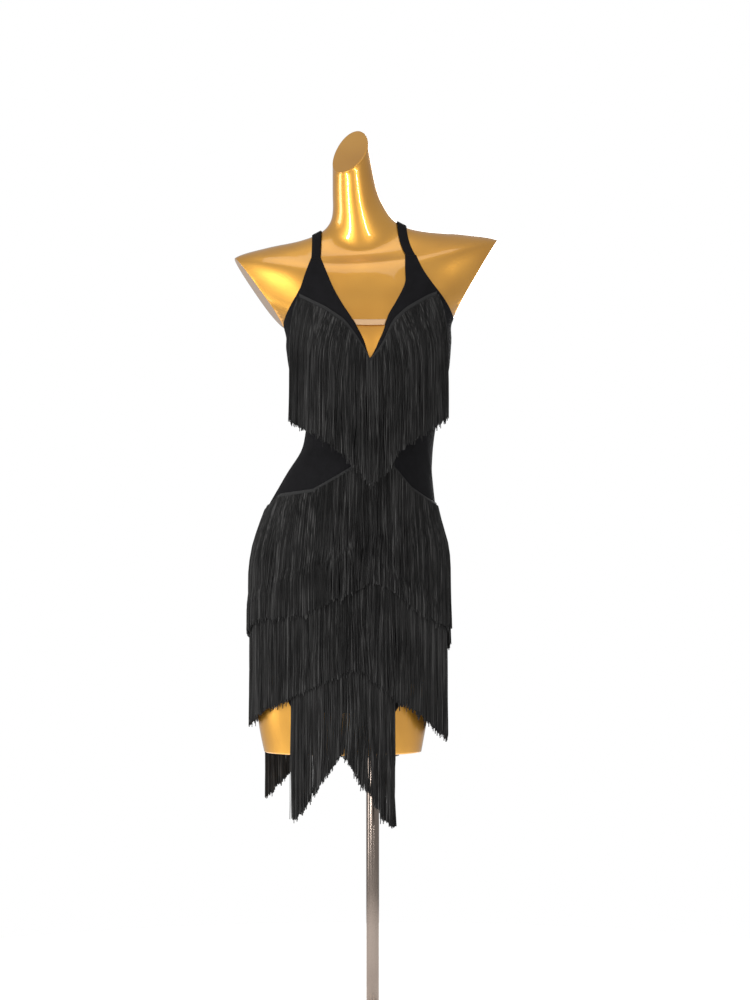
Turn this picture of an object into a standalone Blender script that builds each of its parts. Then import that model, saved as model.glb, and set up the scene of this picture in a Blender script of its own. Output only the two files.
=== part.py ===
"""Latin dance dress on a limbless dress form with a pole stand.

Metres, +Z up. The origin is the centre of the base's underside, the pole stands on +Z, the front
faces -Y and the wearer's right side (the viewer's left) is at -X. The form is a loft through named
rings. Every cloth piece is a closed wall: its points are found by looking at the solids below it
along level rays towards one upright axis, and are then moved out by a gap and a wall.
"""
from collections import namedtuple
import math

import bmesh
import bpy
from mathutils import Vector
from mathutils.bvhtree import BVHTree

# Gaps and walls
SEAM_GAP = 0.0003
FORM_GAP = 0.0020
CLOTH = 0.0015
TAPE = 0.0012
TAPE_DROP = 0.007
FRINGE_GAP = 0.0012
FRINGE_WALL = 0.0030
FRINGE_LENGTH = 0.206
HEM_FRINGE_LENGTH = 0.220
TAPE_GAP = 0.0012
LEAST_GAP = 0.0010
SHARES_ALONG = (0.0, 0.25, 0.5, 0.75, 1.0)
SHARES_DOWN = (0.0, 0.1, 0.2, 0.3, 0.4, 0.5, 0.6, 0.7, 0.8, 0.9, 1.0)
SETTLE_PASSES = 5
HANG_LOOKS = 6
HALVINGS = 24
OUTLINE_PASSES = 12
LEAST_FACING = 0.5
LOOK_NUDGES = ((0.0, 0.0), (-0.1, 0.0), (0.1, 0.0), (0.0, 0.0005), (0.0, -0.0005))

# Form and stand
FORM_BOTTOM = 0.500
COLUMNS = 40
HALF = COLUMNS // 2
TURN_STEP = 360.0 / COLUMNS
AXIS = Vector((-0.0045, 0.0, 0.0))
DEPTH_RATIO = 0.65
FRONT_TURNS = 100.0
SIDE_TURN = 90.0
REACH = 1.0
POLE_RADIUS = 0.011
BASE_RADIUS = 0.190
BASE_THICK = 0.008
COLLAR_RADIUS = 0.028
COLLAR_HEIGHT = 0.035
FLANGE_RADIUS = 0.045
FLANGE_THICK = 0.006
ROUND_SIDES = 48

# One level of the form. height is at the side; drops lower the front and back middle below it.
Ring = namedtuple("Ring", "height centre half_width front back front_drop back_drop tilt")
FORM_RINGS = (
    Ring(0.470, -0.0500, 0.1270, 0.080, 0.088, 0.000, 0.000, 0.000),
    Ring(0.551, -0.0510, 0.1430, 0.086, 0.097, 0.000, 0.000, 0.000),
    Ring(0.640, -0.0465, 0.1535, 0.092, 0.109, 0.000, 0.000, 0.000),
    Ring(0.741, -0.0410, 0.1615, 0.095, 0.121, 0.000, 0.000, 0.000),
    Ring(0.801, -0.0400, 0.1650, 0.095, 0.122, 0.000, 0.000, 0.000),
    Ring(0.845, -0.0385, 0.1610, 0.094, 0.115, 0.000, 0.000, 0.000),
    Ring(0.880, -0.0375, 0.1510, 0.092, 0.104, 0.000, 0.000, 0.000),
    Ring(0.913, -0.0355, 0.1405, 0.091, 0.094, 0.000, 0.000, 0.000),
    Ring(0.946, -0.0285, 0.1290, 0.090, 0.086, 0.000, 0.000, 0.000),
    Ring(0.976, -0.0210, 0.1188, 0.089, 0.079, 0.000, 0.000, 0.000),
    Ring(1.009, -0.0100, 0.1090, 0.087, 0.075, 0.000, 0.000, 0.000),
    Ring(1.040, -0.0045, 0.1070, 0.086, 0.075, 0.000, 0.000, 0.000),
    Ring(1.070, -0.0010, 0.1088, 0.087, 0.078, 0.000, 0.000, 0.000),
    Ring(1.107, -0.0027, 0.1205, 0.092, 0.084, 0.000, 0.000, 0.010),
    Ring(1.149, -0.0053, 0.1325, 0.097, 0.090, 0.000, 0.000, 0.025),
    Ring(1.190, -0.0065, 0.1375, 0.098, 0.094, 0.000, 0.000, 0.045),
    Ring(1.226, -0.0070, 0.1420, 0.094, 0.096, 0.000, 0.000, 0.060),
    Ring(1.268, -0.0085, 0.1900, 0.088, 0.096, 0.000, 0.000, 0.066),
    Ring(1.305, -0.0095, 0.2180, 0.077, 0.094, 0.004, 0.000, 0.066),
    Ring(1.334, -0.0095, 0.2310, 0.067, 0.088, 0.011, 0.000, 0.066),
    Ring(1.355, -0.0100, 0.2220, 0.059, 0.079, 0.025, 0.000, 0.066),
    Ring(1.368, -0.0110, 0.1650, 0.053, 0.068, 0.032, -0.006, 0.066),
    Ring(1.379, -0.0130, 0.0880, 0.046, 0.056, 0.036, -0.012, 0.066),
    Ring(1.396, -0.0170, 0.0580, 0.041, 0.050, 0.042, -0.010, 0.040),
    Ring(1.417, -0.0218, 0.0462, 0.038, 0.046, 0.034, -0.008, 0.020),
    Ring(1.450, -0.0294, 0.0386, 0.037, 0.043, 0.015, -0.003, 0.000),
    Ring(1.497, -0.0345, 0.0335, 0.036, 0.041, 0.000, 0.000, 0.000),
    Ring(1.550, -0.0384, 0.0290, 0.035, 0.039, 0.000, 0.000, 0.000),
    Ring(1.610, -0.0410, 0.0270, 0.034, 0.038, 0.000, 0.000, 0.000),
)
RING_STEPS = 2

# A soft swelling of the front: across and height give its middle, the spreads its size.
Cup = namedtuple("Cup", "across height rise spread_across spread_up spread_down")
CUPS = (
    Cup(-0.080, 1.170, 0.031, 0.043, 0.058, 0.038),
    Cup(0.068, 1.176, 0.031, 0.043, 0.058, 0.038),
)

# A flat cut through the form: a point on it, the way that the removed end faces, and the height
# above which it cuts.
Cut = namedtuple("Cut", "point facing above")
FORM_CUTS = (
    Cut((0.000, 0.0, FORM_BOTTOM), (0.0, 0.0, -1.0), 0.0),
    Cut((-0.1955, 0.0, 1.2817), (-0.822, -0.120, -0.568), 1.215),
    Cut((0.1775, 0.0, 1.3060), (0.870, -0.080, -0.494), 1.220),
    Cut((-0.0384, -0.002, 1.518), (-0.640, -0.960, 1.0), 1.400),
)

# Outlines as seen level from the front: how far across, and how high.
Mark = namedtuple("Mark", "across height")
TIER_1_LEFT = (
    Mark(-0.122, 1.273), Mark(-0.077, 1.250), Mark(-0.046, 1.228),
    Mark(-0.028, 1.203), Mark(-0.009, 1.173), Mark(-0.0045, 1.162),
)
TIER_1_RIGHT = (
    Mark(-0.0045, 1.162), Mark(0.017, 1.188), Mark(0.024, 1.206),
    Mark(0.034, 1.228), Mark(0.057, 1.250), Mark(0.092, 1.271), Mark(0.107, 1.277),
)
TIER_2_FRONT = (
    Mark(-0.181, 0.913), Mark(-0.156, 0.938), Mark(-0.099, 0.946), Mark(-0.066, 0.965),
    Mark(-0.028, 0.988), Mark(0.001, 1.003), Mark(0.037, 0.983), Mark(0.064, 0.950),
    Mark(0.089, 0.933), Mark(0.108, 0.922), Mark(0.125, 0.905),
)
TIER_2_BACK = (
    Mark(-0.181, 0.913), Mark(-0.100, 0.935), Mark(-0.020, 0.985), Mark(0.060, 0.930),
    Mark(0.100, 0.885), Mark(0.125, 0.905),
)
TIER_3_FRONT = (
    Mark(-0.208, 0.761), Mark(-0.175, 0.787), Mark(-0.135, 0.808), Mark(-0.071, 0.838),
    Mark(-0.028, 0.856), Mark(0.002, 0.838), Mark(0.039, 0.802), Mark(0.070, 0.787),
    Mark(0.110, 0.750), Mark(0.130, 0.734),
)
TIER_3_BACK = (
    Mark(-0.208, 0.761), Mark(-0.120, 0.790), Mark(-0.030, 0.840), Mark(0.060, 0.785),
    Mark(0.130, 0.734),
)
TIER_4_FRONT = (
    Mark(-0.134, 0.623), Mark(-0.130, 0.614), Mark(-0.081, 0.685), Mark(-0.049, 0.733),
    Mark(-0.023, 0.690), Mark(0.030, 0.605), Mark(0.036, 0.609),
)
TIER_4_BACK = (
    Mark(-0.182, 0.642), Mark(-0.142, 0.682), Mark(-0.080, 0.733), Mark(-0.010, 0.669),
    Mark(0.034, 0.626),
)
HEM_FRONT = (
    Mark(-0.208, 0.738), Mark(-0.165, 0.650), Mark(-0.134, 0.575), Mark(0.036, 0.570),
    Mark(0.075, 0.640), Mark(0.130, 0.712),
)
HEM_BACK = (
    Mark(-0.208, 0.738), Mark(-0.190, 0.600), Mark(-0.160, 0.590), Mark(0.034, 0.580),
    Mark(0.080, 0.640), Mark(0.130, 0.712),
)

# A level row of a halter front, from the neckline or centre front out to the armhole or side.
Row = namedtuple("Row", "height inner outer")
HALTER_LEFT = (
    Row(1.333, -0.0867, -0.1035), Row(1.306, -0.0755, -0.1130), Row(1.280, -0.0645, -0.1215),
    Row(1.254, -0.0500, -0.1365), Row(1.230, -0.0345, -0.1480), Row(1.206, -0.0210, None),
    Row(1.184, -0.0115, None), Row(1.164, None, None),
)
HALTER_RIGHT = (
    Row(1.338, 0.0544, 0.0730), Row(1.314, 0.0544, 0.0840), Row(1.290, 0.0540, 0.1000),
    Row(1.260, 0.0400, 0.1230), Row(1.236, 0.0265, 0.1345), Row(1.208, 0.0180, None),
    Row(1.184, 0.0075, None), Row(1.164, None, None),
)
BODICE_ROWS_BELOW = 7
SKIRT_ROWS = 10
FRINGE_ROWS = 6
TIER_1_ROWS = 7
TIER_1_COLUMNS = 9
TIER_4_FRONT_COLUMNS = 10
TIER_4_BACK_COLUMNS = 12

# The back's top edge: turn round the axis from the front, and height.
Edge = namedtuple("Edge", "turn height")
BACK_TOP = (Edge(90, 1.190), Edge(117, 1.180), Edge(144, 1.174), Edge(171, 1.174),
            Edge(180, 1.162), Edge(189, 1.174), Edge(216, 1.174), Edge(243, 1.180),
            Edge(270, 1.186))

# Straps: across at the front seam, over the shoulder and at the back.
Strap = namedtuple("Strap", "front_height front top back")
STRAPS = {
    "left": Strap(1.333, -0.0951, -0.0940, -0.052),
    "right": Strap(1.338, 0.0637, 0.0480, 0.043),
}
STRAP_WIDTH = 0.015
STRAP_CENTRE = Vector((0.0, 0.012, 1.300))
STRAP_STEPS = 18
STRAP_SWEEP = 165.0
STRAP_GAP = 0.0030
STRAP_END_GAP = 0.0025
BAR_HEIGHT = 0.0095
BAR_LEVEL = 1.2235
BAR_STEPS = 6

# The tiers from the hem up, in pairs that do not touch. columns is None where a tier runs from
# side to side; fan is how much wider the strands spread at the bottom.
Layer = namedtuple("Layer", "name marks columns rows length fan")
TIERS = (
    (Layer("4_front", TIER_4_FRONT, TIER_4_FRONT_COLUMNS, FRINGE_ROWS, HEM_FRINGE_LENGTH, 1.0),
     Layer("4_back", TIER_4_BACK, TIER_4_BACK_COLUMNS, FRINGE_ROWS, HEM_FRINGE_LENGTH, 1.0)),
    (Layer("3_front", TIER_3_FRONT, None, FRINGE_ROWS, FRINGE_LENGTH, 1.0),
     Layer("3_back", TIER_3_BACK, None, FRINGE_ROWS, FRINGE_LENGTH, 1.0)),
    (Layer("2_front", TIER_2_FRONT, None, FRINGE_ROWS, FRINGE_LENGTH, 1.0),
     Layer("2_back", TIER_2_BACK, None, FRINGE_ROWS, FRINGE_LENGTH, 1.0)),
    (Layer("1_left", TIER_1_LEFT, TIER_1_COLUMNS, TIER_1_ROWS, FRINGE_LENGTH, 1.22),
     Layer("1_right", TIER_1_RIGHT, TIER_1_COLUMNS, TIER_1_ROWS, FRINGE_LENGTH, 1.34)),
)

COLOURS = {
    "gold": ((0.62, 0.37, 0.08), 0.22, 1.0),
    "steel": ((0.42, 0.40, 0.38), 0.30, 1.0),
    "jersey": ((0.016, 0.016, 0.018), 0.75, 0.0),
    "tape": ((0.012, 0.012, 0.013), 0.65, 0.0),
    "fringe": ((0.014, 0.013, 0.013), 0.50, 0.0),
    "bar": ((0.72, 0.53, 0.34), 0.80, 0.0),
}


def clear_scene():
    """Remove every object of the open scene."""
    for thing in list(bpy.data.objects):
        bpy.data.objects.remove(thing, do_unlink=True)


def finish_of(kind, name):
    """A plain material for one sub-part."""
    colour, roughness, metallic = COLOURS[kind]
    material = bpy.data.materials.new(name)
    material.use_nodes = True
    shader = material.node_tree.nodes["Principled BSDF"]
    shader.inputs["Base Color"].default_value = (*colour, 1.0)
    shader.inputs["Roughness"].default_value = roughness
    shader.inputs["Metallic"].default_value = metallic
    return material


def add_object(name, shape, kind):
    """Turn a bmesh into a named object with its material."""
    bmesh.ops.recalc_face_normals(shape, faces=shape.faces[:])
    mesh = bpy.data.meshes.new(name)
    shape.to_mesh(mesh)
    shape.free()
    thing = bpy.data.objects.new(name, mesh)
    mesh.materials.append(finish_of(kind, name))
    bpy.context.collection.objects.link(thing)
    return thing


# ---------------------------------------------------------------- the form

def smooth_value(a, b, c, d, share):
    """Catmull-Rom value between b and c."""
    return 0.5 * (2.0 * b + (c - a) * share + (2.0 * a - 5.0 * b + 4.0 * c - d) * share ** 2
                  + (3.0 * b - a - 3.0 * c + d) * share ** 3)


def smooth_rings(steps):
    """The form's rings with further smooth rings between them."""
    last = len(FORM_RINGS) - 1
    rings = []
    for index in range(last):
        four = [FORM_RINGS[min(max(index + shift, 0), last)] for shift in (-1, 0, 1, 2)]
        for step in range(steps):
            rings.append(Ring(*(smooth_value(*values, step / steps) for values in zip(*four))))
    rings.append(FORM_RINGS[last])
    return rings


def cup_rise(across, height):
    """How far the cups push the front out at a place."""
    rise = 0.0
    for cup in CUPS:
        spread = cup.spread_up if height > cup.height else cup.spread_down
        sideways = (across - cup.across) / cup.spread_across
        upright = (height - cup.height) / spread
        rise += cup.rise * math.exp(-0.5 * (sideways ** 2 + upright ** 2))
    return rise


def ring_point(ring, turn):
    """A point of the form's ring; turn 0 is the front and 90 is +X."""
    side = math.sin(math.radians(turn))
    ahead = math.cos(math.radians(turn))
    across = ring.centre + ring.half_width * side
    depth = ring.front if ahead > 0.0 else ring.back
    drop = ring.front_drop if ahead > 0.0 else ring.back_drop
    height = ring.height + ring.tilt * (across - ring.centre) - drop * ahead ** 2
    swell = cup_rise(across, height) * max(ahead, 0.0)
    return Vector((across, -depth * ahead - swell, height))


def build_form():
    """Loft the rings and cut the neck, arms and thighs off flat."""
    shape = bmesh.new()
    loops = []
    for ring in smooth_rings(RING_STEPS):
        turns = [column * TURN_STEP for column in range(COLUMNS)]
        loop = [shape.verts.new(ring_point(ring, turn)) for turn in turns]
        edges = [shape.edges.new((loop[i], loop[(i + 1) % COLUMNS])) for i in range(COLUMNS)]
        loops.append(edges)
    for lower, upper in zip(loops, loops[1:]):
        bmesh.ops.bridge_loops(shape, edges=lower + upper)
    for cut in FORM_CUTS:
        cut_flat(shape, cut)
    bent = [face for face in shape.faces if len(face.verts) == 4]
    bmesh.ops.triangulate(shape, faces=bent)
    return add_object("form_body", shape, "gold")


def cut_flat(shape, cut):
    """Remove what lies past a plane and close the hole with one flat face."""
    faces = [face for face in shape.faces if all(v.co.z > cut.above for v in face.verts)]
    edges = {edge for face in faces for edge in face.edges}
    verts = {vert for face in faces for vert in face.verts}
    reached = faces + list(edges) + list(verts)
    result = bmesh.ops.bisect_plane(shape, geom=reached, dist=1e-5, plane_co=cut.point,
                                    plane_no=Vector(cut.facing).normalized(), clear_outer=True)
    rim = [item for item in result["geom_cut"] if isinstance(item, bmesh.types.BMEdge)]
    bmesh.ops.holes_fill(shape, edges=rim, sides=0)


# ---------------------------------------------------------------- finding the surface below

class Below:
    """Everything built so far, looked at from outside towards the upright axis."""

    def __init__(self):
        self.points = []
        self.faces = []
        self.tree = None

    def add(self, thing):
        """Count a finished object among what lies below the next piece."""
        start = len(self.points)
        self.points.extend(thing.matrix_world @ vertex.co for vertex in thing.data.vertices)
        self.faces.extend([start + i for i in face.vertices] for face in thing.data.polygons)
        self.tree = BVHTree.FromPolygons(self.points, self.faces)

    def look(self, turn, height):
        """The outermost point at a turn and height, and its outward normal, or None."""
        nearest = None
        facing = None
        for aside, above in LOOK_NUDGES:
            way = heading(turn + aside)
            start = Vector((AXIS.x, AXIS.y, height + above)) + way * REACH
            _, normal, _, distance = self.tree.ray_cast(start, -way, REACH)
            if normal and (nearest is None or distance < nearest):
                nearest = distance
                facing = normal
        if nearest is None:
            return None
        return place(turn, height, REACH - nearest), facing

    def radius(self, turn, height):
        """Distance from the axis to the outermost surface, or 0 where there is none."""
        found = self.look(turn, height)
        if found is None:
            return 0.0
        return math.hypot(found[0].x - AXIS.x, found[0].y - AXIS.y)


def heading(turn):
    """Level direction for a turn; turn 0 is the front, 90 is +X, 180 the back."""
    angle = math.radians(turn)
    return Vector((math.sin(angle), -DEPTH_RATIO * math.cos(angle), 0.0)).normalized()


def place(turn, height, radius):
    """The point at a turn, a height and a distance from the axis."""
    return Vector((AXIS.x, AXIS.y, height)) + heading(turn) * radius


def turn_at(below, across, height, low=-FRONT_TURNS, high=FRONT_TURNS):
    """The turn at which the surface lies this far across, found by halving."""
    for _ in range(HALVINGS):
        middle = 0.5 * (low + high)
        found = below.look(middle, height)
        if found[0].x < across:
            low = middle
        else:
            high = middle
    return 0.5 * (low + high)


def level_of(marks, across):
    """Height of an outline at a distance across."""
    if across <= marks[0].across:
        return marks[0].height
    for left, right in zip(marks, marks[1:]):
        if across <= right.across:
            share = (across - left.across) / (right.across - left.across)
            return left.height + share * (right.height - left.height)
    return marks[-1].height


def outline_height(below, marks, turn):
    """Height at which a column of the surface meets an outline drawn from the front."""
    height = 0.5 * (marks[0].height + marks[-1].height)
    for _ in range(OUTLINE_PASSES):
        across = AXIS.x + heading(turn).x * below.radius(turn, height)
        height = 0.5 * (height + level_of(marks, across))
    return height


def edge_height(edges, turn):
    """Height of the back's top edge at a turn."""
    marks = [Mark(edge.turn, edge.height) for edge in edges]
    return level_of(marks, turn)


# ---------------------------------------------------------------- walls

def wall_object(name, inner, outer, kind):
    """Close two matching grids of points (rows of columns) into one wall."""
    shape = bmesh.new()
    skins = [[[shape.verts.new(point) for point in row] for row in grid] for grid in (inner, outer)]
    for skin in skins:
        for upper, lower in zip(skin, skin[1:]):
            for i in range(len(upper) - 1):
                shape.faces.new((upper[i], upper[i + 1], lower[i + 1], lower[i]))
    rims = [rim_of(skin) for skin in skins]
    count = len(rims[0])
    for i in range(count):
        after = (i + 1) % count
        shape.faces.new((rims[0][i], rims[0][after], rims[1][after], rims[1][i]))
    bmesh.ops.triangulate(shape, faces=shape.faces[:])
    return add_object(name, shape, kind)


def rim_of(skin):
    """The border vertices of a grid, in order round it."""
    top = skin[0][:]
    right = [row[-1] for row in skin[1:]]
    bottom = skin[-1][-2::-1]
    left = [row[0] for row in skin[-2:0:-1]]
    return top + right + bottom + left


def pull_in(grid, share=0.5):
    """Move the border of a grid inwards by half a seam gap."""
    moved = [[point.copy() for point in row] for row in grid]
    step = SEAM_GAP * share
    for row, source in zip(moved, grid):
        row[0] += (source[1] - source[0]).normalized() * step
        row[-1] += (source[-2] - source[-1]).normalized() * step
    for i in range(len(grid[0])):
        moved[0][i] += (grid[1][i] - grid[0][i]).normalized() * step
        moved[-1][i] += (grid[-2][i] - grid[-1][i]).normalized() * step
    return moved


def turn_of(point):
    """The turn at which a point lies round the axis."""
    return math.degrees(math.atan2(point.x - AXIS.x, -point.y / DEPTH_RATIO))


def shortfall(below, corners, gap):
    """How much nearer than the gap a flat cell comes to what is below it."""
    most = 0.0
    for down in SHARES_DOWN:
        left = corners[0].lerp(corners[2], down)
        right = corners[1].lerp(corners[3], down)
        for along in SHARES_ALONG:
            point = left.lerp(right, along)
            radius = math.hypot(point.x - AXIS.x, point.y - AXIS.y)
            most = max(most, below.radius(turn_of(point), point.z) + gap - radius)
    return most


def settle(below, grid, radii, gap):
    """Push a grid's radii out until its flat cells clear what is below them."""
    for _ in range(SETTLE_PASSES):
        points = [[place(turn, height, radius) for (turn, height), radius in zip(row, values)]
                  for row, values in zip(grid, radii)]
        pushes = [[0.0] * len(row) for row in radii]
        for k in range(len(grid) - 1):
            for i in range(len(grid[0]) - 1):
                corners = (points[k][i], points[k][i + 1], points[k + 1][i], points[k + 1][i + 1])
                push = shortfall(below, corners, gap)
                for a, b in ((k, i), (k, i + 1), (k + 1, i), (k + 1, i + 1)):
                    pushes[a][b] = max(pushes[a][b], push)
        radii = [[radius + push for radius, push in zip(*pair)] for pair in zip(radii, pushes)]
    return radii


def slant(below, turn, height):
    """How much longer a wall is along the level ray than straight through it."""
    found = below.look(turn, height)
    if found is None:
        return 1.0
    return 1.0 / max(abs(found[1].dot(heading(turn))), LEAST_FACING)


def laid_wall(name, below, grid, thickness, gap, kind):
    """A wall that lies on what is below it, through rows of (turn, height) pairs."""
    slants = [[slant(below, turn, height) for turn, height in row] for row in grid]
    radii = [[below.radius(turn, height) + gap * factor
              for (turn, height), factor in zip(row, factors)]
             for row, factors in zip(grid, slants)]
    radii = settle(below, grid, radii, LEAST_GAP)
    walls = [[thickness * factor for factor in factors] for factors in slants]
    return radial_wall(name, grid, radii, walls, kind)


def radial_wall(name, grid, radii, walls, kind):
    """A wall from its inner radii and its thickness along the level rays."""
    inner = []
    outer = []
    for row, values, depths in zip(grid, radii, walls):
        inner.append([place(turn, height, radius) for (turn, height), radius in zip(row, values)])
        outer.append([place(turn, height, radius + depth)
                      for (turn, height), radius, depth in zip(row, values, depths)])
    return wall_object(name, pull_in(inner), pull_in(outer), kind)


def spread_rows(tops, bottoms, turns, count):
    """Rows of (turn, height) spaced evenly from a top edge to a bottom edge."""
    rows = []
    for step in range(count + 1):
        share = step / count
        rows.append([(turn, top + share * (bottom - top))
                     for turn, top, bottom in zip(turns, tops, bottoms)])
    return rows


# ---------------------------------------------------------------- bodice and skirt

def halter_front(name, form, halter, outer_turn):
    """One halter front: level rows on the chest, then rows that run into the waist seam."""
    rows = []
    for row in halter:
        inner_turn = 0.0 if row.inner is None else turn_at(form, row.inner, row.height)
        outside = outer_turn if row.outer is None else turn_at(form, row.outer, row.height)
        rows.append([(inner_turn + (outside - inner_turn) * i / (HALF // 2), row.height)
                     for i in range(HALF // 2 + 1)])
    turns = [turn for turn, _ in rows[-1]]
    tops = [height for _, height in rows[-1]]
    seam = [outline_height(form, TIER_2_FRONT, turn) - TAPE_DROP / 2 for turn in turns]
    rows.extend(spread_rows(tops, seam, turns, BODICE_ROWS_BELOW)[1:])
    return laid_wall(name, form, rows, CLOTH, FORM_GAP, "jersey")


def column_turns(first, last):
    """Turns of the shared columns from one turn to another."""
    count = round((last - first) / TURN_STEP)
    return [first + TURN_STEP * i for i in range(count + 1)]


def bodice_back(form):
    """The low back, from side seam to side seam."""
    turns = column_turns(SIDE_TURN, 3.0 * SIDE_TURN)
    tops = [edge_height(BACK_TOP, turn) for turn in turns]
    seam = [outline_height(form, TIER_2_BACK, turn) - TAPE_DROP / 2 for turn in turns]
    rows = spread_rows(tops, seam, turns, BODICE_ROWS_BELOW)
    return laid_wall("bodice_back", form, rows, CLOTH, FORM_GAP, "jersey")


def skirt_panel(name, form, first, waist, hem):
    """Half of the close-fitting skirt base."""
    turns = column_turns(first, first + 2.0 * SIDE_TURN)
    tops = [outline_height(form, waist, turn) - TAPE_DROP / 2 for turn in turns]
    bottoms = [outline_height(form, hem, turn) for turn in turns]
    rows = spread_rows(tops, bottoms, turns, SKIRT_ROWS)
    return laid_wall(name, form, rows, CLOTH, FORM_GAP, "jersey")


# ---------------------------------------------------------------- tapes and fringe

def tape(name, below, turns, tops):
    """A heading tape on what lies below it."""
    rows = [[(turn, top - TAPE_DROP * share) for turn, top in zip(turns, tops)]
            for share in (0.0, 0.5, 1.0)]
    return laid_wall(name, below, rows, TAPE, TAPE_GAP, "tape")


def hang(below, turn, top, bottom, steps, fan):
    """Rows (turn, height, radius) of a hanging strand, which never moves in again."""
    rows = []
    reach = 0.0
    drop = (top - bottom) / steps
    for step in range(steps + 1):
        at = turn * (1.0 + (fan - 1.0) * step / steps)
        for part in range(HANG_LOOKS):
            height = min(top - drop * (step - part / HANG_LOOKS), top)
            reach = max(reach, below.radius(at, height))
        rows.append((at, top - drop * step, reach + FRINGE_GAP))
    return rows


def fringe(name, below, turns, tops, layer):
    """The plain solid of a fringe's reach, hung below its tape."""
    columns = []
    for turn, top in zip(turns, tops):
        start = top - TAPE_DROP - SEAM_GAP
        columns.append(hang(below, turn, start, top - layer.length, layer.rows, layer.fan))
    rows = list(zip(*columns))
    grid = [[(turn, height) for turn, height, _ in row] for row in rows]
    radii = settle(below, grid, [[radius for _, _, radius in row] for row in rows], LEAST_GAP)
    walls = [[FRINGE_WALL] * len(row) for row in rows]
    return radial_wall(name, grid, radii, walls, "fringe")


def build_tier(below, layer, turns):
    """A tape and its fringe, placed on everything below them."""
    tops = [outline_height(below, layer.marks, turn) for turn in turns]
    band = tape(f"tape_{layer.name}", below, turns, tops)
    hanging = fringe(f"fringe_{layer.name}", below, turns, tops, layer)
    return band, hanging


def turns_across(below, marks, count):
    """Turns spread evenly between the two ends of an outline on the front."""
    first = turn_at(below, marks[0].across, marks[0].height)
    last = turn_at(below, marks[-1].across, marks[-1].height)
    return [first + (last - first) * i / count for i in range(count + 1)]


def turns_across_back(below, marks, count):
    """Turns spread evenly between the two ends of an outline on the back."""
    ends = [turn_at(below, mark.across, mark.height, 3.0 * SIDE_TURN, SIDE_TURN)
            for mark in (marks[-1], marks[0])]
    return [ends[0] + (ends[1] - ends[0]) * i / count for i in range(count + 1)]


def layer_turns(below, layer):
    """The turns of a tier's columns."""
    if layer.columns is None:
        start = -SIDE_TURN if layer.name.endswith("front") else SIDE_TURN
        return column_turns(start, start + 2.0 * SIDE_TURN)
    if layer.name.endswith("back"):
        return turns_across_back(below, layer.marks, layer.columns)
    return turns_across(below, layer.marks, layer.columns)


# ---------------------------------------------------------------- straps and bar

def strap_across(strap, swing):
    """How far across the strap runs; swing is -1 at the front seam, 0 on top, 1 at the back."""
    if swing < 0.0:
        return strap.top + (strap.front - strap.top) * swing ** 2
    return strap.top + (strap.back - strap.top) * swing


def strap_point(below, strap, angle, swing, sideways, lift):
    """A point of the strap, seen from inside the shoulder at an angle from straight up."""
    centre = Vector((strap_across(strap, swing) + sideways, STRAP_CENTRE.y, STRAP_CENTRE.z))
    way = Vector((0.0, math.sin(angle), math.cos(angle)))
    hit, normal, _, _ = below.tree.ray_cast(centre + way * REACH, -way, REACH)
    return hit + normal * lift


def strap_angle(below, strap, across, height, way):
    """The angle, towards the front or back, at which the strap reaches a height."""
    low = 0.0
    high = math.radians(STRAP_SWEEP)
    for _ in range(HALVINGS):
        middle = 0.5 * (low + high)
        point = strap_point(below, strap._replace(front=across, top=across, back=across),
                            middle * way, 0.0, 0.0, STRAP_GAP)
        if point.z > height:
            low = middle
        else:
            high = middle
    return 0.5 * (low + high) * way


def build_strap(side, below):
    """A ribbon from the top of a halter front, over the shoulder, down to the back."""
    strap = STRAPS[side]
    back_height = BACK_TOP[3].height + STRAP_END_GAP
    front_height = strap.front_height + STRAP_END_GAP
    grids = [[[] for _ in range(STRAP_STEPS + 1)] for _ in range(2)]
    for sideways in (-0.5 * STRAP_WIDTH, 0.0, 0.5 * STRAP_WIDTH):
        first = strap_angle(below, strap, strap.front + sideways, front_height, -1.0)
        last = strap_angle(below, strap, strap.back + sideways, back_height, 1.0)
        for step in range(STRAP_STEPS + 1):
            angle = first + (last - first) * step / STRAP_STEPS
            swing = -angle / first if angle < 0.0 else angle / last
            for grid, lift in zip(grids, (STRAP_GAP, STRAP_GAP + CLOTH)):
                grid[step].append(strap_point(below, strap, angle, swing, sideways, lift))
    return wall_object(f"strap_{side}", grids[0], grids[1], "jersey")


def row_at(rows, height):
    """Neckline position of a halter front at a height."""
    for upper, lower in zip(rows, rows[1:]):
        if upper.height >= height >= lower.height:
            share = (upper.height - height) / (upper.height - lower.height)
            return upper.inner + share * (lower.inner - upper.inner)
    return rows[-1].inner


def build_bar(form):
    """The straight elastic bar between the two necklines."""
    grids = [[], []]
    for height in (BAR_LEVEL + BAR_HEIGHT / 2, BAR_LEVEL - BAR_HEIGHT / 2):
        ends = []
        for rows, inward in ((HALTER_LEFT, 1.0), (HALTER_RIGHT, -1.0)):
            across = row_at(rows, height) + inward * 4.0 * SEAM_GAP
            found = form.look(turn_at(form, across, height), height)
            ends.append(found[0] + found[1] * FORM_GAP)
        for grid, lift in zip(grids, (0.0, CLOTH)):
            forward = Vector((0.0, -lift, 0.0))
            grid.append([ends[0].lerp(ends[1], i / BAR_STEPS) + forward
                         for i in range(BAR_STEPS + 1)])
    return wall_object("neck_bar", grids[0], grids[1], "bar")


# ---------------------------------------------------------------- stand

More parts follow.
